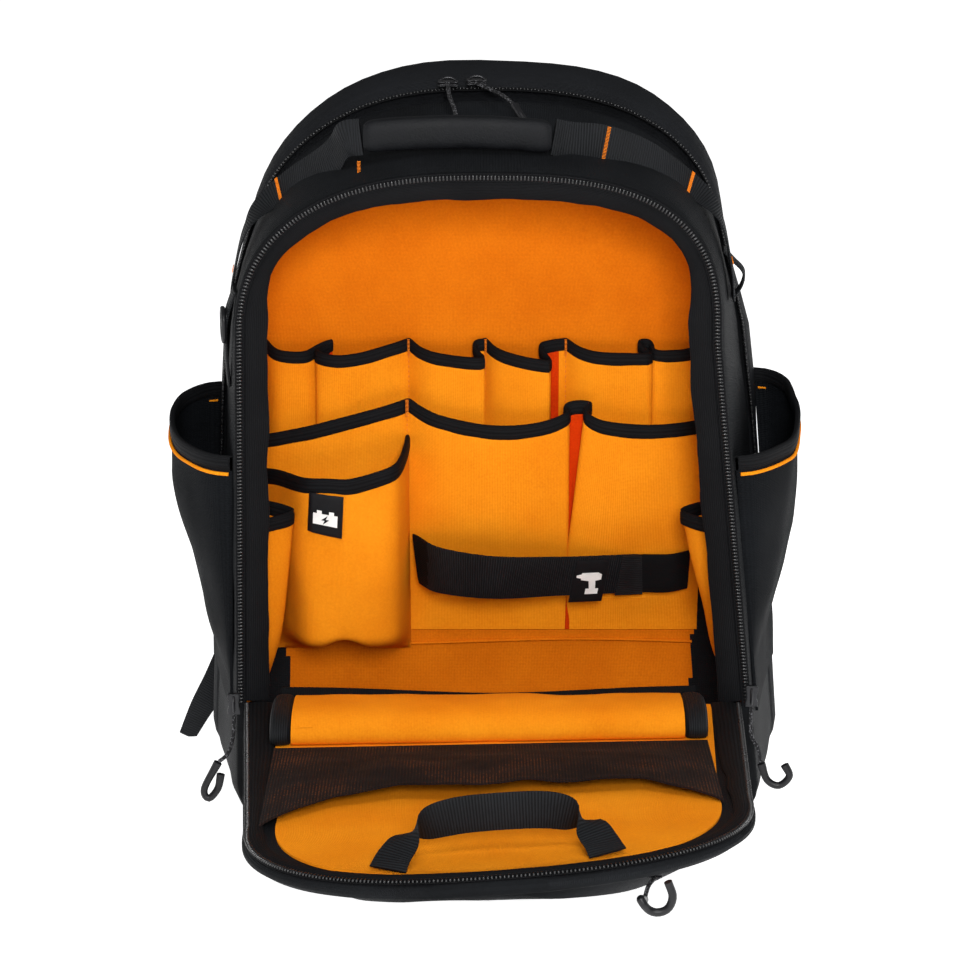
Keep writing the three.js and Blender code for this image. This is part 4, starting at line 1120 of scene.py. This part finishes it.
# %% webbing loop
LOOP = [(-47, 303, 3.6, 0.96, 0.1), (-43, 295, 9, 0.9, 0.35), (-32, 285, 18, 0.5, 0.8), (-14, 280, 22, 0.1, 1),
        (14, 279, 23, 0, 1), (38, 280, 22, -0.1, 1), (53, 284, 17, -0.5, 0.8), (61, 292, 9, -0.9, 0.35),
        (65, 301, 4.2, -0.97, 0.05)]
loop_points = [on_panel(x, s, h) for x, s, h, _, _ in LOOP]
loop_across = [on_panel(x + ax, s, h + ah) - on_panel(x, s, h) for x, s, h, ax, ah in LOOP]
dress(band("panel_loop_webbing", loop_points, loop_across, 20, 1.6, 60), webbing, "panel_loop")

# %% [markdown]
# ## Outer pocket of the panel
# Below the panel hangs its outer pocket, deep at the hinge, with a curved zip round its far end.

# %% outer pocket
def front_pocket_place(u, v, side):
    x, s, _, _ = plate_spot(u, v, 18, 14)
    depth = lerp(40, lerp(3, 8, smooth((x + 60) / 140)), v)
    rim_near = min(1, 0.35 + 5 * min(u, 1 - u, v, (1 - v) * 1.5))
    sag = soft(x, s, 11, 50, 2.5) * smooth(min(u, 1 - u, v, 1 - v) * 6)
    return on_panel(x, s, -PANEL_THICK - GAP - (0 if side else max(1, depth * rim_near - abs(sag))))


dress(cloth("front_pocket_cloth", (40, 40), front_pocket_place), black_cloth, "front_pocket")
front_zip_line = moved(rim, 20, closed=False)
front_zip_line = front_zip_line[front_zip_line[:, 1] > 225]
front_coil = np.array([on_panel(x, s, -PANEL_THICK - GAP - 0.5) for x, s in front_zip_line])
dress(zip_row("front_pocket_teeth", front_coil, -panel_up, both=True), coil_plastic, "front_pocket_zip")

# %% [markdown]
# ## Cloth pockets on the back wall
# Two rows of orange pockets are sewn to the back wall. Each pocket stands a little open, its top
# edge bound in black tape, and the rows are parted by lines of stitches. Each row is one sheet
# that follows a path seen from above; where the path doubles back, a pleat shows, its faces painted
# deep red as painted shade inside the fold. The plan is a table of rows: x, how far the cloth stands
# off, how far its top sinks, and 1 on a pleat.

# %% pocket rows
CLOTH, UPPER_TOP, UPPER_LOW, LOWER_LOW, LOWER_BASE = 1.6, 283, 118, 96, 17
UPPER = [
    (-129, 2, 0, 0), (-124, 8, 6, 0), (-118, 10, 8, 0), (-106, 9, 9, 0), (-101, 5, 6, 0), (-95, 3, 2, 0),
    (-88, 1, 0, 1), (-92, 4, 3, 1), (-98, 9, 6, 1), (-97.7, 12, 7, 0), (-91, 14, 9, 0), (-82, 14, 10, 0),
    (-66, 10, 7, 0), (-48.6, 4, 1, 0), (-43.3, 0.3, 0, 0), (-42, 0.5, 0, 0), (-36, 6, 6, 0), (-24, 11, 10, 0),
    (-3, 13, 12, 0), (2.4, 13, 12, 0), (-2, 9, 8, 1), (-5, 3, 1, 1), (3.3, 0.3, 0, 0), (4, 0.5, 0, 0),
    (10, 6, 7, 0), (24, 12, 11, 0), (39.5, 14, 14, 0), (42, 14, 14, 0), (38, 9, 8, 1), (35, 4, 3, 1),
    (42, 2, 1, 1), (51.6, 0.3, 0, 0), (52.8, 0.5, 0, 0), (60.7, 6, 6, 0), (72.8, 10, 9, 0), (100, 11, 9, 0),
    (103, 11, 9, 0), (98, 7, 5, 1), (94.7, 3, 0, 1), (102, 1, 0, 1), (105, 4, 3, 1), (105, 8, 7, 0),
    (110, 9, 8, 0), (127.5, 8, 6, 0), (133, 3, 3, 0),
]
LOWER_ROW = [
    (-132, 227, 0, 0), (-115, 231, 5, 0), (-80, 241, 9, 0), (-50, 249, 5, 0), (-44, 250, 0, 0),
    (-42, 250, 0.5, 0), (-36, 246, 4, 0), (-24, 241, 8, 0), (0, 237, 12, 0), (20, 236, 13, 0), (40, 239, 11, 0), (54, 244, 8, 0),
    (50, 246, 4, 1), (53, 248, 1, 1), (60, 249, 0, 1), (68, 248, 0.5, 1), (66, 247, 3, 1), (64, 245, 6, 0),
    (66, 242, 8, 0), (76, 238, 10, 0), (100, 236, 11, 0), (125, 237, 7, 0), (134, 237, 1, 0),
]
LOWER = [(-134, 227, 0), (-115, 231, 6), (-80, 241, 10), (-50, 250, 6), (-43, 248, 0), (-20, 239, 10),
         (0, 236, 13), (30, 237, 10), (46, 240, 4), (60, 245, 0), (72, 240, 5), (100, 236, 11), (125, 237, 7),
         (135, 236, 0)]


def rounded(points, count, times=2):
    """Cuts the corners of a path, then reads it at even steps"""
    p = np.array(points, float)
    for _ in range(times):
        near, far = p[:-1] * 0.75 + p[1:] * 0.25, p[:-1] * 0.25 + p[1:] * 0.75
        p = np.vstack([p[:1], np.stack([near, far], axis=1).reshape(-1, p.shape[1]), p[-1:]])
    return even(p, count)


def plan_out(xy):
    way = unit(np.gradient(np.array(xy, float), axis=0))
    return np.stack([way[:, 1], -way[:, 0], np.zeros(len(way))], axis=1)


def lower_back(x, w):
    return WALL_Y - LOWER_BASE * smooth(w * 1.6) - column(LOWER, x, 2) * smooth(w * 1.2)


def lower_front(x, z):
    return lower_back(x, (z - LOWER_LOW) / (column(LOWER, x) - LOWER_LOW)) - CLOTH


UPPER_STEPS, LOWER_STEPS, POUCH_STEPS = 300, 240, 90
upper_path = rounded(UPPER, UPPER_STEPS)
upper_out = plan_out(upper_path[:, :2] * (1, -1))


def upper_spot(i, v):
    x, depth, droop, _ = upper_path[i]
    z = lerp(UPPER_LOW, UPPER_TOP - droop * 0.72, v)
    pucker = soft(x * 1.5, 0, z * 0.6, 20, 1.1) * smooth(depth / 5)
    return np.array([x, WALL_Y - (depth + pucker) * lerp(0.4, 1, smooth(v * 1.2)), z])


def upper_place(u, v, side):
    i = round(u * UPPER_STEPS)
    return upper_spot(i, v) + upper_out[i] * (0 if side else CLOTH)


lower_path = rounded(LOWER_ROW, LOWER_STEPS)
lower_out = plan_out(lower_path[:, [0, 2]] * (1, -1))


def lower_spot(i, v):
    x, top, bulge, _ = lower_path[i]
    z = lerp(LOWER_LOW, top, v)
    slant = 10 * (1 - min(1, max(0, (z - 151) / 94)))
    x -= slant * smooth((x - 54) / 10) * smooth((90 - x) / 22)
    pucker = soft(x * 1.2, 4, z * 0.5, 30, 1.4) * smooth(v * 3) * smooth(bulge / 4)
    return np.array([x, WALL_Y - LOWER_BASE * smooth(v * 1.6) - (bulge + pucker) * smooth(v * 1.2), z])


def lower_place(u, v, side):
    i = round(u * LOWER_STEPS)
    return lower_spot(i, v) + lower_out[i] * (0 if side else CLOTH)


for node, cells, place, path in (("upper_pockets", (UPPER_STEPS, 24), upper_place, upper_path),
                                 ("lower_pockets", (LOWER_STEPS, 30), lower_place, lower_path)):
    row = dress(cloth(node + "_cloth", cells, place), orange_cloth, node)
    # Faces on a pleat get the deep red painted shade of the fold.
    paint(row, pleat_shade_red, lambda u, v, c, path=path: path[round(u * (len(path) - 1)), 3] > 0.5)


def seam(name, line, outward, slot, pitch=3.0, width=0.6):
    """A row of orange stitches; a short pitch and a wide stitch make a bartack"""
    made = zip_row(name, even(line, 12), np.array(outward, float), pitch, width, 0.5, 0.15)
    return dress(made, thread, slot=slot)


SEAM_Y, TACK_Y = WALL_Y - CLOTH - 1.2, WALL_Y - 3.7
for k, (x, low) in enumerate(((-43.2, 226), (3.4, 262), (51.9, 232), (97.6, 240))):
    seam(f"upper_seam_{k}", [(x, SEAM_Y, UPPER_TOP - 1), (x, SEAM_Y, low)], FRONT, "upper_pockets")
    seam(f"upper_tack_{k}", [(x, TACK_Y, UPPER_TOP + 0.5), (x, TACK_Y, UPPER_TOP - 9)], FRONT,
         "upper_binding", 0.8, 1.5)
seam("lower_seam", [(-44, lower_front(-44, z) - 1.0, z) for z in (238, 215)], FRONT, "lower_pockets")
seam("lower_tack", [(-44, lower_front(-44, z) - 3.0, z) for z in (251, 241)], FRONT, "lower_binding",
     0.8, 2)

# %% [markdown]
# ## Bindings
# A binding is a folded tape that wraps a raw edge. It is drawn as a flat rounded tube that
# follows the edge, a little fuller in the middle than the cloth it holds.

# %% bindings
def binding(name, edge, down, out, width, thick, steps, node=None, slot=None, wander=0.5):
    edge = np.array(edge, float)
    down = unit(down if np.ndim(down) > 1 else np.tile(down, (steps + 1, 1)))
    out = unit(out if np.ndim(out) > 1 else np.tile(out, (steps + 1, 1)))

    def place(u, v, _):
        i = round(v * steps)
        c, s = oval(u * math.tau, 0.6, 0.7)
        wide = width + soft(*edge[i], 13, wander)
        return edge[i] + down[i] * wide * (0.5 - 0.5 * c) + out[i] * thick / 2 * s

    return dress(loft(name, (14, steps), place), binding_tape, node, slot or node)


upper_edge = [upper_spot(i, 1) + upper_out[i] * CLOTH / 2 + (0, 0, 1) for i in range(UPPER_STEPS + 1)]
binding("upper_binding_tape", upper_edge, DOWN, upper_out, 8, 3.0, UPPER_STEPS, "upper_binding")
lower_edge = [lower_spot(i, 1) + lower_out[i] * CLOTH / 2 + (0, 0, 1) for i in range(LOWER_STEPS + 1)]
binding("lower_binding_tape", lower_edge, DOWN, lower_out, 9, 3.2, LOWER_STEPS, "lower_binding")

# %% [markdown]
# ## Battery pouch
# A deep pouch for a cordless tool's battery hangs at the lower left, with its own binding and a
# small moulded label. The label's sign is drawn as an outline of corners, filled and given a
# little thickness, so that it is a shape and not a picture.

# %% battery pouch
POUCH = [(-131, 0, 207), (-123, 0.2, 209), (-115, 0.52, 211), (-107, 0.84, 212), (-100, 0.97, 213),
         (-90, 1, 213.5),
         (-79, 1, 213), (-67, 1, 215), (-57, 0.98, 218), (-51, 0.88, 220), (-48, 0.66, 222), (-46, 0.42, 225),
         (-45, 0.2, 227), (-44.6, 0, 228)]
POUCH_LOW, BATTERY_DEPTH = 85, 34
pouch_path = rounded([(x, share * BATTERY_DEPTH, top) for x, share, top in POUCH], POUCH_STEPS)
pouch_out = plan_out(pouch_path[:, :2] * (1, -1))


def pouch_spot(x, depth, top, v):
    z = lerp(POUCH_LOW, top, v)
    z += 11 * math.exp(-((x + 82) / 10) ** 2) * (1 - smooth(v * 3.5))
    share = depth / BATTERY_DEPTH * (0.02 + 0.98 * smooth(v * 5) ** 0.7)
    near, far = lower_front(x, z), lower_front(x, 190) - BATTERY_DEPTH
    dent = 3.5 * math.exp(-((x + 82) / 12) ** 2) * smooth(1 - v * 2)
    dent += 2.2 * math.sin(v * 9) * math.exp(-((x + 60) / 9) ** 2)
    wave = soft(x * 1.3, 2, z * 0.7, 26, 2.2) * smooth(min(depth / 10, v * 5))
    return np.array([x, lerp(near, far, share) - GAP - 0.95 - wave + dent * share, z])


def pouch_place(u, v, side):
    i = round(u * POUCH_STEPS)
    return pouch_spot(*pouch_path[i], v) + pouch_out[i] * (0 if side else CLOTH)


dress(cloth("battery_pouch_cloth", (POUCH_STEPS, 44), pouch_place), orange_cloth, "battery_pouch")
pouch_edge = [pouch_spot(*pouch_path[i], 1) + pouch_out[i] * CLOTH / 2 + (0, 0, 1)
              for i in range(POUCH_STEPS + 1)]
binding("battery_binding_tape", pouch_edge, DOWN, pouch_out, 10, 3.2, POUCH_STEPS, "battery_binding")


def label_spot(u, v, lift):
    x = lerp(-101.6, -80.9, u) - 1.5 * (1 - v)
    z = lerp(lerp(181.3, 177.5, u), lerp(206, 204, u), v)
    depth, top = column(POUCH, x, 1) * BATTERY_DEPTH, column(POUCH, x, 2)
    return pouch_spot(x, depth, top, (z - POUCH_LOW) / (top - POUCH_LOW)) - (0, CLOTH + 1.6 + lift, 0)


def label_place(u, v, side):
    return label_spot(u, v, 0 if side else 0.4 + 0.5 * smooth(min(u, 1 - u, v, 1 - v) * 14))


def mark(name, corners, spot, finish, slot, thick=0.3):
    """A flat printed shape: its outline is filled, then pushed out to a thin plate"""
    count = len(corners)
    mesh = bpy.data.meshes.new(name)
    mesh.from_pydata([spot(a, b, h) * MM for h in (0, thick) for a, b in corners], [],
                     [list(range(count)), list(range(2 * count - 1, count - 1, -1))]
                     + [[i, i + count, (i + 1) % count + count, (i + 1) % count] for i in range(count)])
    piece = bpy.data.objects.new(name, mesh)
    bpy.context.collection.objects.link(piece)
    return dress(finish_mesh(piece, 30), finish, slot=slot)


dress(cloth("battery_label_plate", (20, 24), label_place), label_rubber, "battery_label")
CELL = [(-7.4, -4.6), (7.4, -4.6), (7.4, 2.6), (5.2, 2.6), (5.2, 4.6), (2.2, 4.6), (2.2, 2.6), (-2.2, 2.6),
        (-2.2, 4.6), (-5.2, 4.6), (-5.2, 2.6), (-7.4, 2.6)]
BOLT = [(1.3, 1.9), (-2.4, -1.4), (-0.3, -1.4), (-1.3, -4.1), (2.4, -0.6), (0.4, -0.6)]
on_label = lambda a, b, h: label_spot(0.5 + a / 21, 0.44 + b / 26, 1.6 + h)
mark("battery_sign", CELL, on_label, label_print, "battery_label")
mark("bolt_sign", BOLT, lambda a, b, h: on_label(a, b, h + 0.35), label_rubber, "battery_label", 0.2)

# %% [markdown]
# ## Wall pockets
# Two flat pockets hang on the side walls, their mouths bound in black.

# %% wall pockets
for word, sign, out, base in (("left", -1, 31, 0.3), ("right", 1, 30, 0.08)):
    def wall_spot(u, v, sign=sign, out=out, base=base):
        y, z = lerp(-62, -30, u), lerp(76, 196, v) - 5 * (1 - u) * v
        beak = 1 - abs(2 * u - 1) ** 1.5
        swell = out * max(0.0, beak) ** 0.85 * (base + (1 - base) * math.sqrt(max(0, v)))
        inner = abs(side_x(y, z, sign)) - WALL - GAP - 1.5 - GAP - 0.3
        wave = soft(y * 1.4, z * 0.5, sign * 9, 22, 2.4) * beak * smooth(v * 4)
        return inner - swell - wave, y, z

    def wall_place(u, v, side, sign=sign, spot=wall_spot):
        x, y, z = spot(u, v)
        return sign * (x - (0 if side else CLOTH)), y, z
    dress(cloth(f"wall_pocket_{word}_cloth", (24, 30), wall_place), orange_cloth, f"wall_pocket_{word}")
    edge, out_way = [], []
    for t in np.linspace(0, 1, 41):
        x, y, z = wall_spot(t, 1)
        edge.append((sign * (x - 0.8), y, z + 1))
        out_way.append((-sign * 0.5, -1.0 if t < 0.5 else 1.0, 0))
    binding(f"wall_binding_{word}", edge, DOWN, np.array(out_way), 9, 3.0, 40,
            slot=f"wall_pocket_{word}")

# %% [markdown]
# ## Tool strap
# A wide elastic strap crosses the pockets and stands off them to hold a power tool.

# %% tool strap
STRAP = [(-39, 5, 148), (-24, 21, 147), (8, 27, 145), (45, 21, 142), (84, 8, 139), (98, 3.1, 138),
         (116, 6, 139), (128, 2.4, 140)]
strap_points = [(x, lower_front(x, z) - lift, z) for x, lift, z in STRAP]
upward = [(0, -0.28, 1)] * 8
strap_rail = rail(strap_points, upward, 200)
strap = band("tool_strap_elastic", strap_points, upward, lambda v: lerp(34, 28, smooth(v * 1.6)), 2, 90, 10)
dress(strap, elastic, "tool_strap")
paint(strap, binding_tape, lambda u, v, c: c.x < -32 or c.x > 99)
strap_line = strap_rail[0]


def strap_spot(a, b, h):
    """A place on the strap: a along it from the label's middle, b up its width, h out from its face"""
    middle = int(np.argmin(abs(strap_line[:, 0] - 67)))
    step = np.linalg.norm(strap_line[1] - strap_line[0])
    i = int(np.clip(round(middle + a / step), 0, 200))
    rest = a - (i - middle) * step
    line, across, out = strap_rail
    way = unit(np.cross(across[i], out[i]))
    way = way if way[0] > 0 else -way
    out = out[i] if out[i][1] < 0 else -out[i]
    return line[i] + way * rest + across[i] * b + out * (1.2 + h)


def strap_label_place(u, v, side):
    lift = 0 if side else 0.4 + 0.4 * smooth(min(u, 1 - u, v, 1 - v) * 14)
    return strap_spot(lerp(-10.8, 10.8, u), lerp(-18.5, 12, v), lift)


dress(cloth("tool_strap_label_plate", (14, 18), strap_label_place), label_rubber, "tool_strap_label")
DRILL = [(-9, 4.6), (-9, 6), (-5.8, 6.6), (-5.8, 7.6), (5, 7.6), (7.4, 6.2), (7.4, 2.6), (3.8, 1.8), (4.6, -4),
         (6.6, -4), (6.6, -7.8), (-1.6, -7.8), (-1.6, -4), (0.6, -4), (-0.6, 1.8), (-5.8, 2.6), (-5.8, 3.8)]
mark("drill_sign", DRILL, lambda a, b, h: strap_spot(a, b - 4.5, 0.9 + h), label_print, "tool_strap_label")
tack_x = int(np.argmin(abs(strap_line[:, 0] - 85.5))) - int(np.argmin(abs(strap_line[:, 0] - 67)))
tack_a = tack_x * np.linalg.norm(strap_line[1] - strap_line[0])
seam("strap_tack", [strap_spot(tack_a, b, 0.3) for b in (-13, 13)], FRONT, "tool_strap", 0.8, 2.0)


def strap_fold_place(u, v, side):
    return strap_spot(lerp(tack_a - 1.5, tack_a + 14.5, u), lerp(-14.2, 14.2, v), 0.1 + (0 if side else 1.2))


dress(cloth("tool_strap_fold", (8, 10), strap_fold_place), elastic, slot="tool_strap")

# %% [markdown]
# ## Side pockets
# A deep pocket hangs on each side. Its mouth drops towards the front, is bound in black and
# carries a thin orange piping.

# %% side pockets
FULLNESS = {-1: [(0, 0), (0.1, 0.02), (0.29, 0.28), (0.475, 0.52), (0.675, 0.78), (0.81, 0.94),
                 (0.925, 0.99), (1, 0.98)],
            1: [(0, 0), (0.2, 0.06), (0.325, 0.25), (0.43, 0.45), (0.575, 0.68), (0.81, 0.84),
                (0.956, 0.94), (1, 0.96)]}


def side_spot(u, w, sign):
    y = OPENING_Y + 12 + 116 * u
    mouth = lerp(232, 244 if sign < 0 else 253, smooth((u - 0.25) / 0.75))
    z = lerp(72, mouth, w)
    belly = max(0.0, math.sin(math.pi * u)) ** 0.55
    bulge = 34 * belly * column(FULLNESS[sign], w)
    fold = soft(y, sign * 30, z * 0.7, 34, 3.2) * smooth(min(u, 1 - u) * 5) * smooth(w * 4)
    return abs(side_x(y, z, sign)) + GAP + 0.3 + bulge + fold, y, z


for word, sign in (("left", -1), ("right", 1)):
    def pocket_place(u, v, side, sign=sign):
        x, y, z = side_spot(u, v, sign)
        return sign * (x + (0 if side else CLOTH)), y, z
    dress(cloth(f"side_pocket_{word}_cloth", (48, 44), pocket_place), pocket_cloth, f"side_pocket_{word}")
    mouth = [side_spot(t, 1, sign) for t in np.linspace(0, 1, 61)]
    edge = [(sign * (x + 0.8), y, z) for x, y, z in mouth]
    binding(f"side_pocket_{word}_mouth", np.array(edge) + (0, 0, 1), DOWN,
            np.array([sign, 0.0, 0]), 9.5, 3.6, 60, f"side_pocket_binding_{word}")
    below = [side_spot(t, 0.935, sign) for t in np.linspace(0, 1, 60)]
    piping = [(sign * (x + 2.4), y, z) for x, y, z in below]
    dress(tube(f"side_pocket_{word}_piping_cord", piping, 2.2, 8), orange_cloth, f"side_pocket_piping_{word}")

# %% [markdown]
# ## Grab handle and webbing
# A soft sleeve wraps the webbing to make a grip. The webbing runs on down the gusset and is
# tacked to it at short steps, so that it makes small loops.

# %% grab handle
GRIP_X, GRIP_Y, GRIP_Z, GRIP_L = -13, -50, 424, 108


def grip_place(u, v, _):
    t = 2 * v - 1
    x = GRIP_X + t * GRIP_L / 2
    turn = u * math.tau
    c, s = oval(turn, 0.7, 0.7)
    scale = (1 - 0.3 * abs(t) ** 30) * (1 + soft(x, turn, 0, 14, 0.03))
    return x, GRIP_Y + c * 5.5 * scale, GRIP_Z - 3 * t * t + s * 9.5 * scale


dress(loft("grip_sleeve", (28, 60), grip_place), grip_hide, "grab_handle")
HANDLE = [(42, 2.6, 0.5, -18), (30, 7, 0.2, -22), (18, 4.5, 0.12, -26), (9, 2.2, 0.12, -28)]
for sign, word in ((-1, "left"), (1, "right")):
    end = GRIP_X + sign * (GRIP_L / 2 + GAP + 0.8)
    points = [(end, GRIP_Y, GRIP_Z - 3), (end + sign * 10, GRIP_Y + 5, GRIP_Z - 6)]
    points += [(73, -41, 415), (100, -30, 403)] if sign > 0 else [(-88, -36, 404)]
    across = [(0, 0.15, 1), (0, 0.2, 1)] + ([(0, 0.3, 0.95), (0, 0.6, 0.75)] if sign > 0 else [(0, 0.5, 0.8)])
    s = slice_at(-16)
    half, power = s[word], s[word + "_power"]
    for deg, lift, stand, y in HANDLE:
        a = math.radians(deg)
        z = s["spring"] + (s["top"] - s["spring"]) * math.sin(a) ** (2 / power)
        x = abs(draw_in(s, sign * half * math.cos(a) ** (2 / power), z))
        points.append((sign * (x + math.cos(a) * lift), y, z + math.sin(a) * lift))
        across.append((0, 1 - stand * 0.7, stand))
    dress(band(f"handle_webbing_{word}", points, across, 21, 1.6, 90, 8), webbing, f"handle_web_{word}")
    line, wide, out = rail(points, across, 90)
    for k in ((2,) if sign > 0 else ()) + (len(points) - 4, len(points) - 2):
        i = int(np.argmin(np.linalg.norm(line - np.array(points[k]), axis=1)))
        way = out[i] if (out[i] * (sign, 0, 1)).sum() > 0 else -out[i]
        seam(f"handle_tack_{word}_{k}", [line[i] + wide[i] * b + way * 1.1 for b in (-9.5, 9.5)], way,
             f"handle_web_{word}", 0.8, 2.2)

# %% [markdown]
# ## Small straps
# A tab on the right shoulder and a short strap on the left take gear hung from outside.

# %% small straps
seam("handle_tack_left_end", [(-69.5, -56.4, 399), (-69.5, -56.4, 408)], FRONT, "handle_web_left", 0.8, 2)
tab = [(side_x(6, z, 1) + out, 4, z) for z, out in ((342, 1.1), (335, 6), (328, 10.5), (320, 8), (312, 1.3))]
dress(band("side_tab_webbing", tab, [(0.08, 1, 0)] * 5, 14, 1.6, 30), webbing, "side_tab_right")
side_rows = ((330, 2.4, -44), (312, 5, -44), (292, 4.5, -43), (272, 2.4, -42))
side_strap = [(side_x(-44, z, -1) - out, y, z) for z, out, y in side_rows]
dress(band("side_strap_webbing", side_strap, [(-0.12, 1, 0)] * 4, 18, 2.2, 24), webbing, "side_strap_left")
buckle_x = side_x(-44, 308, -1) - 6.5
frame_line = [(buckle_x - 0.12 * y, -44 + y, 308 + z) for y, z in
              rounded([(-11, 0), (-11, 9), (11, 9), (11, -9), (-11, -9), (-11, 0)], 60)]
dress(tube("side_strap_buckle", frame_line, 3.0, 8), pull_rubber, slot="side_strap_left")
bar_line = [(buckle_x - 0.12 * y, -44 + y, 308) for y in np.linspace(-11, 11, 12)]
dress(tube("side_strap_bar", bar_line, 2.6, 8), pull_rubber, slot="side_strap_left")

# %% [markdown]
# ## Sliders
# A zip slider is a small metal body with a waist and a bail on top, through which the cord runs.

# %% sliders
def slider(name, place, size, long_axis, out_axis, node):
    """A body from a cube, with bevelled edges, a pinched waist and a bail on its face"""
    deselect()
    bpy.ops.mesh.primitive_cube_add(size=1)
    made = bpy.context.object
    made.name = made.data.name = name
    bpy.ops.object.mode_set(mode="EDIT")
    bpy.ops.mesh.select_all(action="SELECT")
    bpy.ops.mesh.subdivide(number_cuts=4)
    bpy.ops.object.mode_set(mode="OBJECT")
    along, out = np.array(long_axis, float), np.array(out_axis, float)
    across = np.cross(along, out)
    wide, thick, length = size
    for vertex in made.data.vertices:
        a, b, c = vertex.co
        pinch = 1 - 0.28 * math.exp(-(b / 0.22) ** 2) - 0.2 * smooth(abs(b) * 2 - 0.6)
        groove = 1 - 0.3 * (abs(a) > 0.42) * (abs(c) < 0.2)
        p = across * a * wide * pinch * groove + along * b * length + out * c * thick * 0.7
        vertex.co = Vector((np.array(place) + p) * MM)
    take(made)
    bevel = made.modifiers.new("edges", "BEVEL")
    bevel.width, bevel.segments = 0.35 * MM, 2
    bpy.ops.object.modifier_apply(modifier="edges")
    finish_mesh(made, 40)
    arc = [np.array(place) + along * length * 0.36 * math.cos(t) + out * (thick * 0.3 + 2.2 * math.sin(t))
           for t in np.linspace(0, math.pi, 16)]
    bail = tube(name + "_bail", arc, 1.5, 8)
    return dress(join(made, bail), slider_paint, node)


slider("slider_left_body", (-147, slider_y, 83), (8, 4, 13), (0, 0, 1), (0, -1, 0), "slider_left")
slider("slider_right_body", (162, slider_y, 88), (8, 4, 13), (0, 0, 1), (0, -1, 0), "slider_right")
slider("rear_slider_left_body", (-19, rear_zip_y, rear_top(-15) - 0.6), (8, 4, 12), (1, 0, 0), (0, 0, 1),
       "rear_slider_left")
slider("rear_slider_right_body", (-2, rear_zip_y, rear_top(-1)), (8, 4, 12), (1, 0, 0), (0, 0, 1),
       "rear_slider_right")
under_spot = front_zip_line[np.argmin(abs(front_zip_line[:, 0] - 88))]
under = on_panel(under_spot[0], under_spot[1], -PANEL_THICK - GAP * 2 - COIL_H - 2.7)
slider("front_slider_body", under, (7, 4, 7), (1, 0, 0), (0, 0, -1), "front_slider")

# %% [markdown]
# ## Pull of the outer pocket
# Its cord is a short link, and the moulded hook hangs just below the panel's far edge.

# %% front pull
ux, uy, uz = under
link = spline([(ux, uy - 4.1 - SEAT, uz), (86, uy - 12, uz - 1.5), (84, uy - 15, uz - 7)], 16)
dress(tube("front_link", link, CORD_D, 10), speckled_braid, "front_cord")
hook = spline([link[-1] + unit(link[-1] - link[-2]) * 0.7, (81, -396, 104), (85, -396, 98.5), (90, -396, 97),
               (95, -396, 99.5), (97, -396, 106), (94.5, -396, 114)], 30)
dress(tube("front_hook", hook, PULL_D, 12), pull_rubber, "front_pull")

# %% [markdown]
# ## Back panel and shoulder straps
# The back is a padded panel with sewn channels, and two padded straps run down from its top to
# webbing at the lower corners.

# %% back and straps
def pad_place(u, v, _):
    rows_at = [(0, 0.35), (0.5, 4), (1, 7), (0, 10), (-4, 11.6), (-9, 12.2)]
    k = round(v * (len(rows_at) + 9))
    c, s = oval(u * math.tau, 0.45, 0.45)
    if k < len(rows_at):
        grow, out = rows_at[k]
        return 4 + c * (118 + grow), BACK_Y + out, 215 + s * (178 + grow)
    shrink = 1 - (k - len(rows_at) + 1) / 10
    x, z = c * 109 * shrink, s * 169 * shrink
    channel = 2.6 * math.exp(-((abs(x) - 34) / 5) ** 2) + 2.2 * math.exp(-((z % 90 - 45) / 4) ** 2)
    return 4 + x, BACK_Y + 12.6 - channel * smooth((shrink < 0.95) * 1.0), 215 + z


pad = loft("back_pad_cloth", (96, 15), pad_place)
dress(pad, ribbed_cloth, "back_pad")
strap_y = BACK_Y + 12
SHOULDER = [(44, 7, 384, 1, 0.05), (50, 26, 372, 1, 0.05), (62, 34, 320, 1, 0.1), (80, 30, 255, 1, 0.1),
            (98, 20, 195, 1, 0.1)]
for sign, word in ((-1, "left"), (1, "right")):
    points = spline([(4 + sign * x, strap_y + y, z) for x, y, z, _, _ in SHOULDER], 48)
    _, across, outward = frames(points, [(1, sign * 0.08, 0)] * 49)

    def shoulder_place(u, v, _, points=points, across=across, outward=outward):
        i = round(v * 48)
        c, s = oval(u * math.tau, 0.5, 0.8)
        wide = lerp(62, 62 * 0.62, smooth((v - 0.5) * 2))
        full = 1 - 0.35 * abs(2 * v - 1) ** 8
        return points[i] + across[i] * c * wide / 2 + outward[i] * s * 5.6 * full
    strap = dress(loft(f"shoulder_strap_{word}_cloth", (36, 48), shoulder_place), black_cloth,
                  f"shoulder_strap_{word}")
    web = [(4 + sign * 100, strap_y + 18, 187), (4 + sign * 112, strap_y + 12, 140),
           (4 + sign * 128, strap_y + 4, 90), (4 + sign * 146, BACK_Y + 2.2, 52)]
    lean = [(1, sign * 0.1, 0), (1, sign * 0.1, 0), (1, 0, 0.5 * sign), (1, 0, 0.9 * sign)]
    dress(band(f"strap_webbing_{word}", web, lean, 24, 1.6, 40), webbing, f"strap_web_{word}")
tail = [(-159, BACK_Y + 4.2, 56), (-169, BACK_Y + 3.6, 38), (-180, BACK_Y + 2, 20), (-190, BACK_Y + 1.5, 0)]
lean = [(0.75, 0, -0.66), (0.85, 0, -0.5), (0.93, 0, -0.36), (0.96, 0, -0.25)]
dress(band("strap_tail_webbing", tail, lean, lambda v: lerp(23, 11, v), 1.6, 30), webbing,
      "strap_end_left")

# %% [markdown]
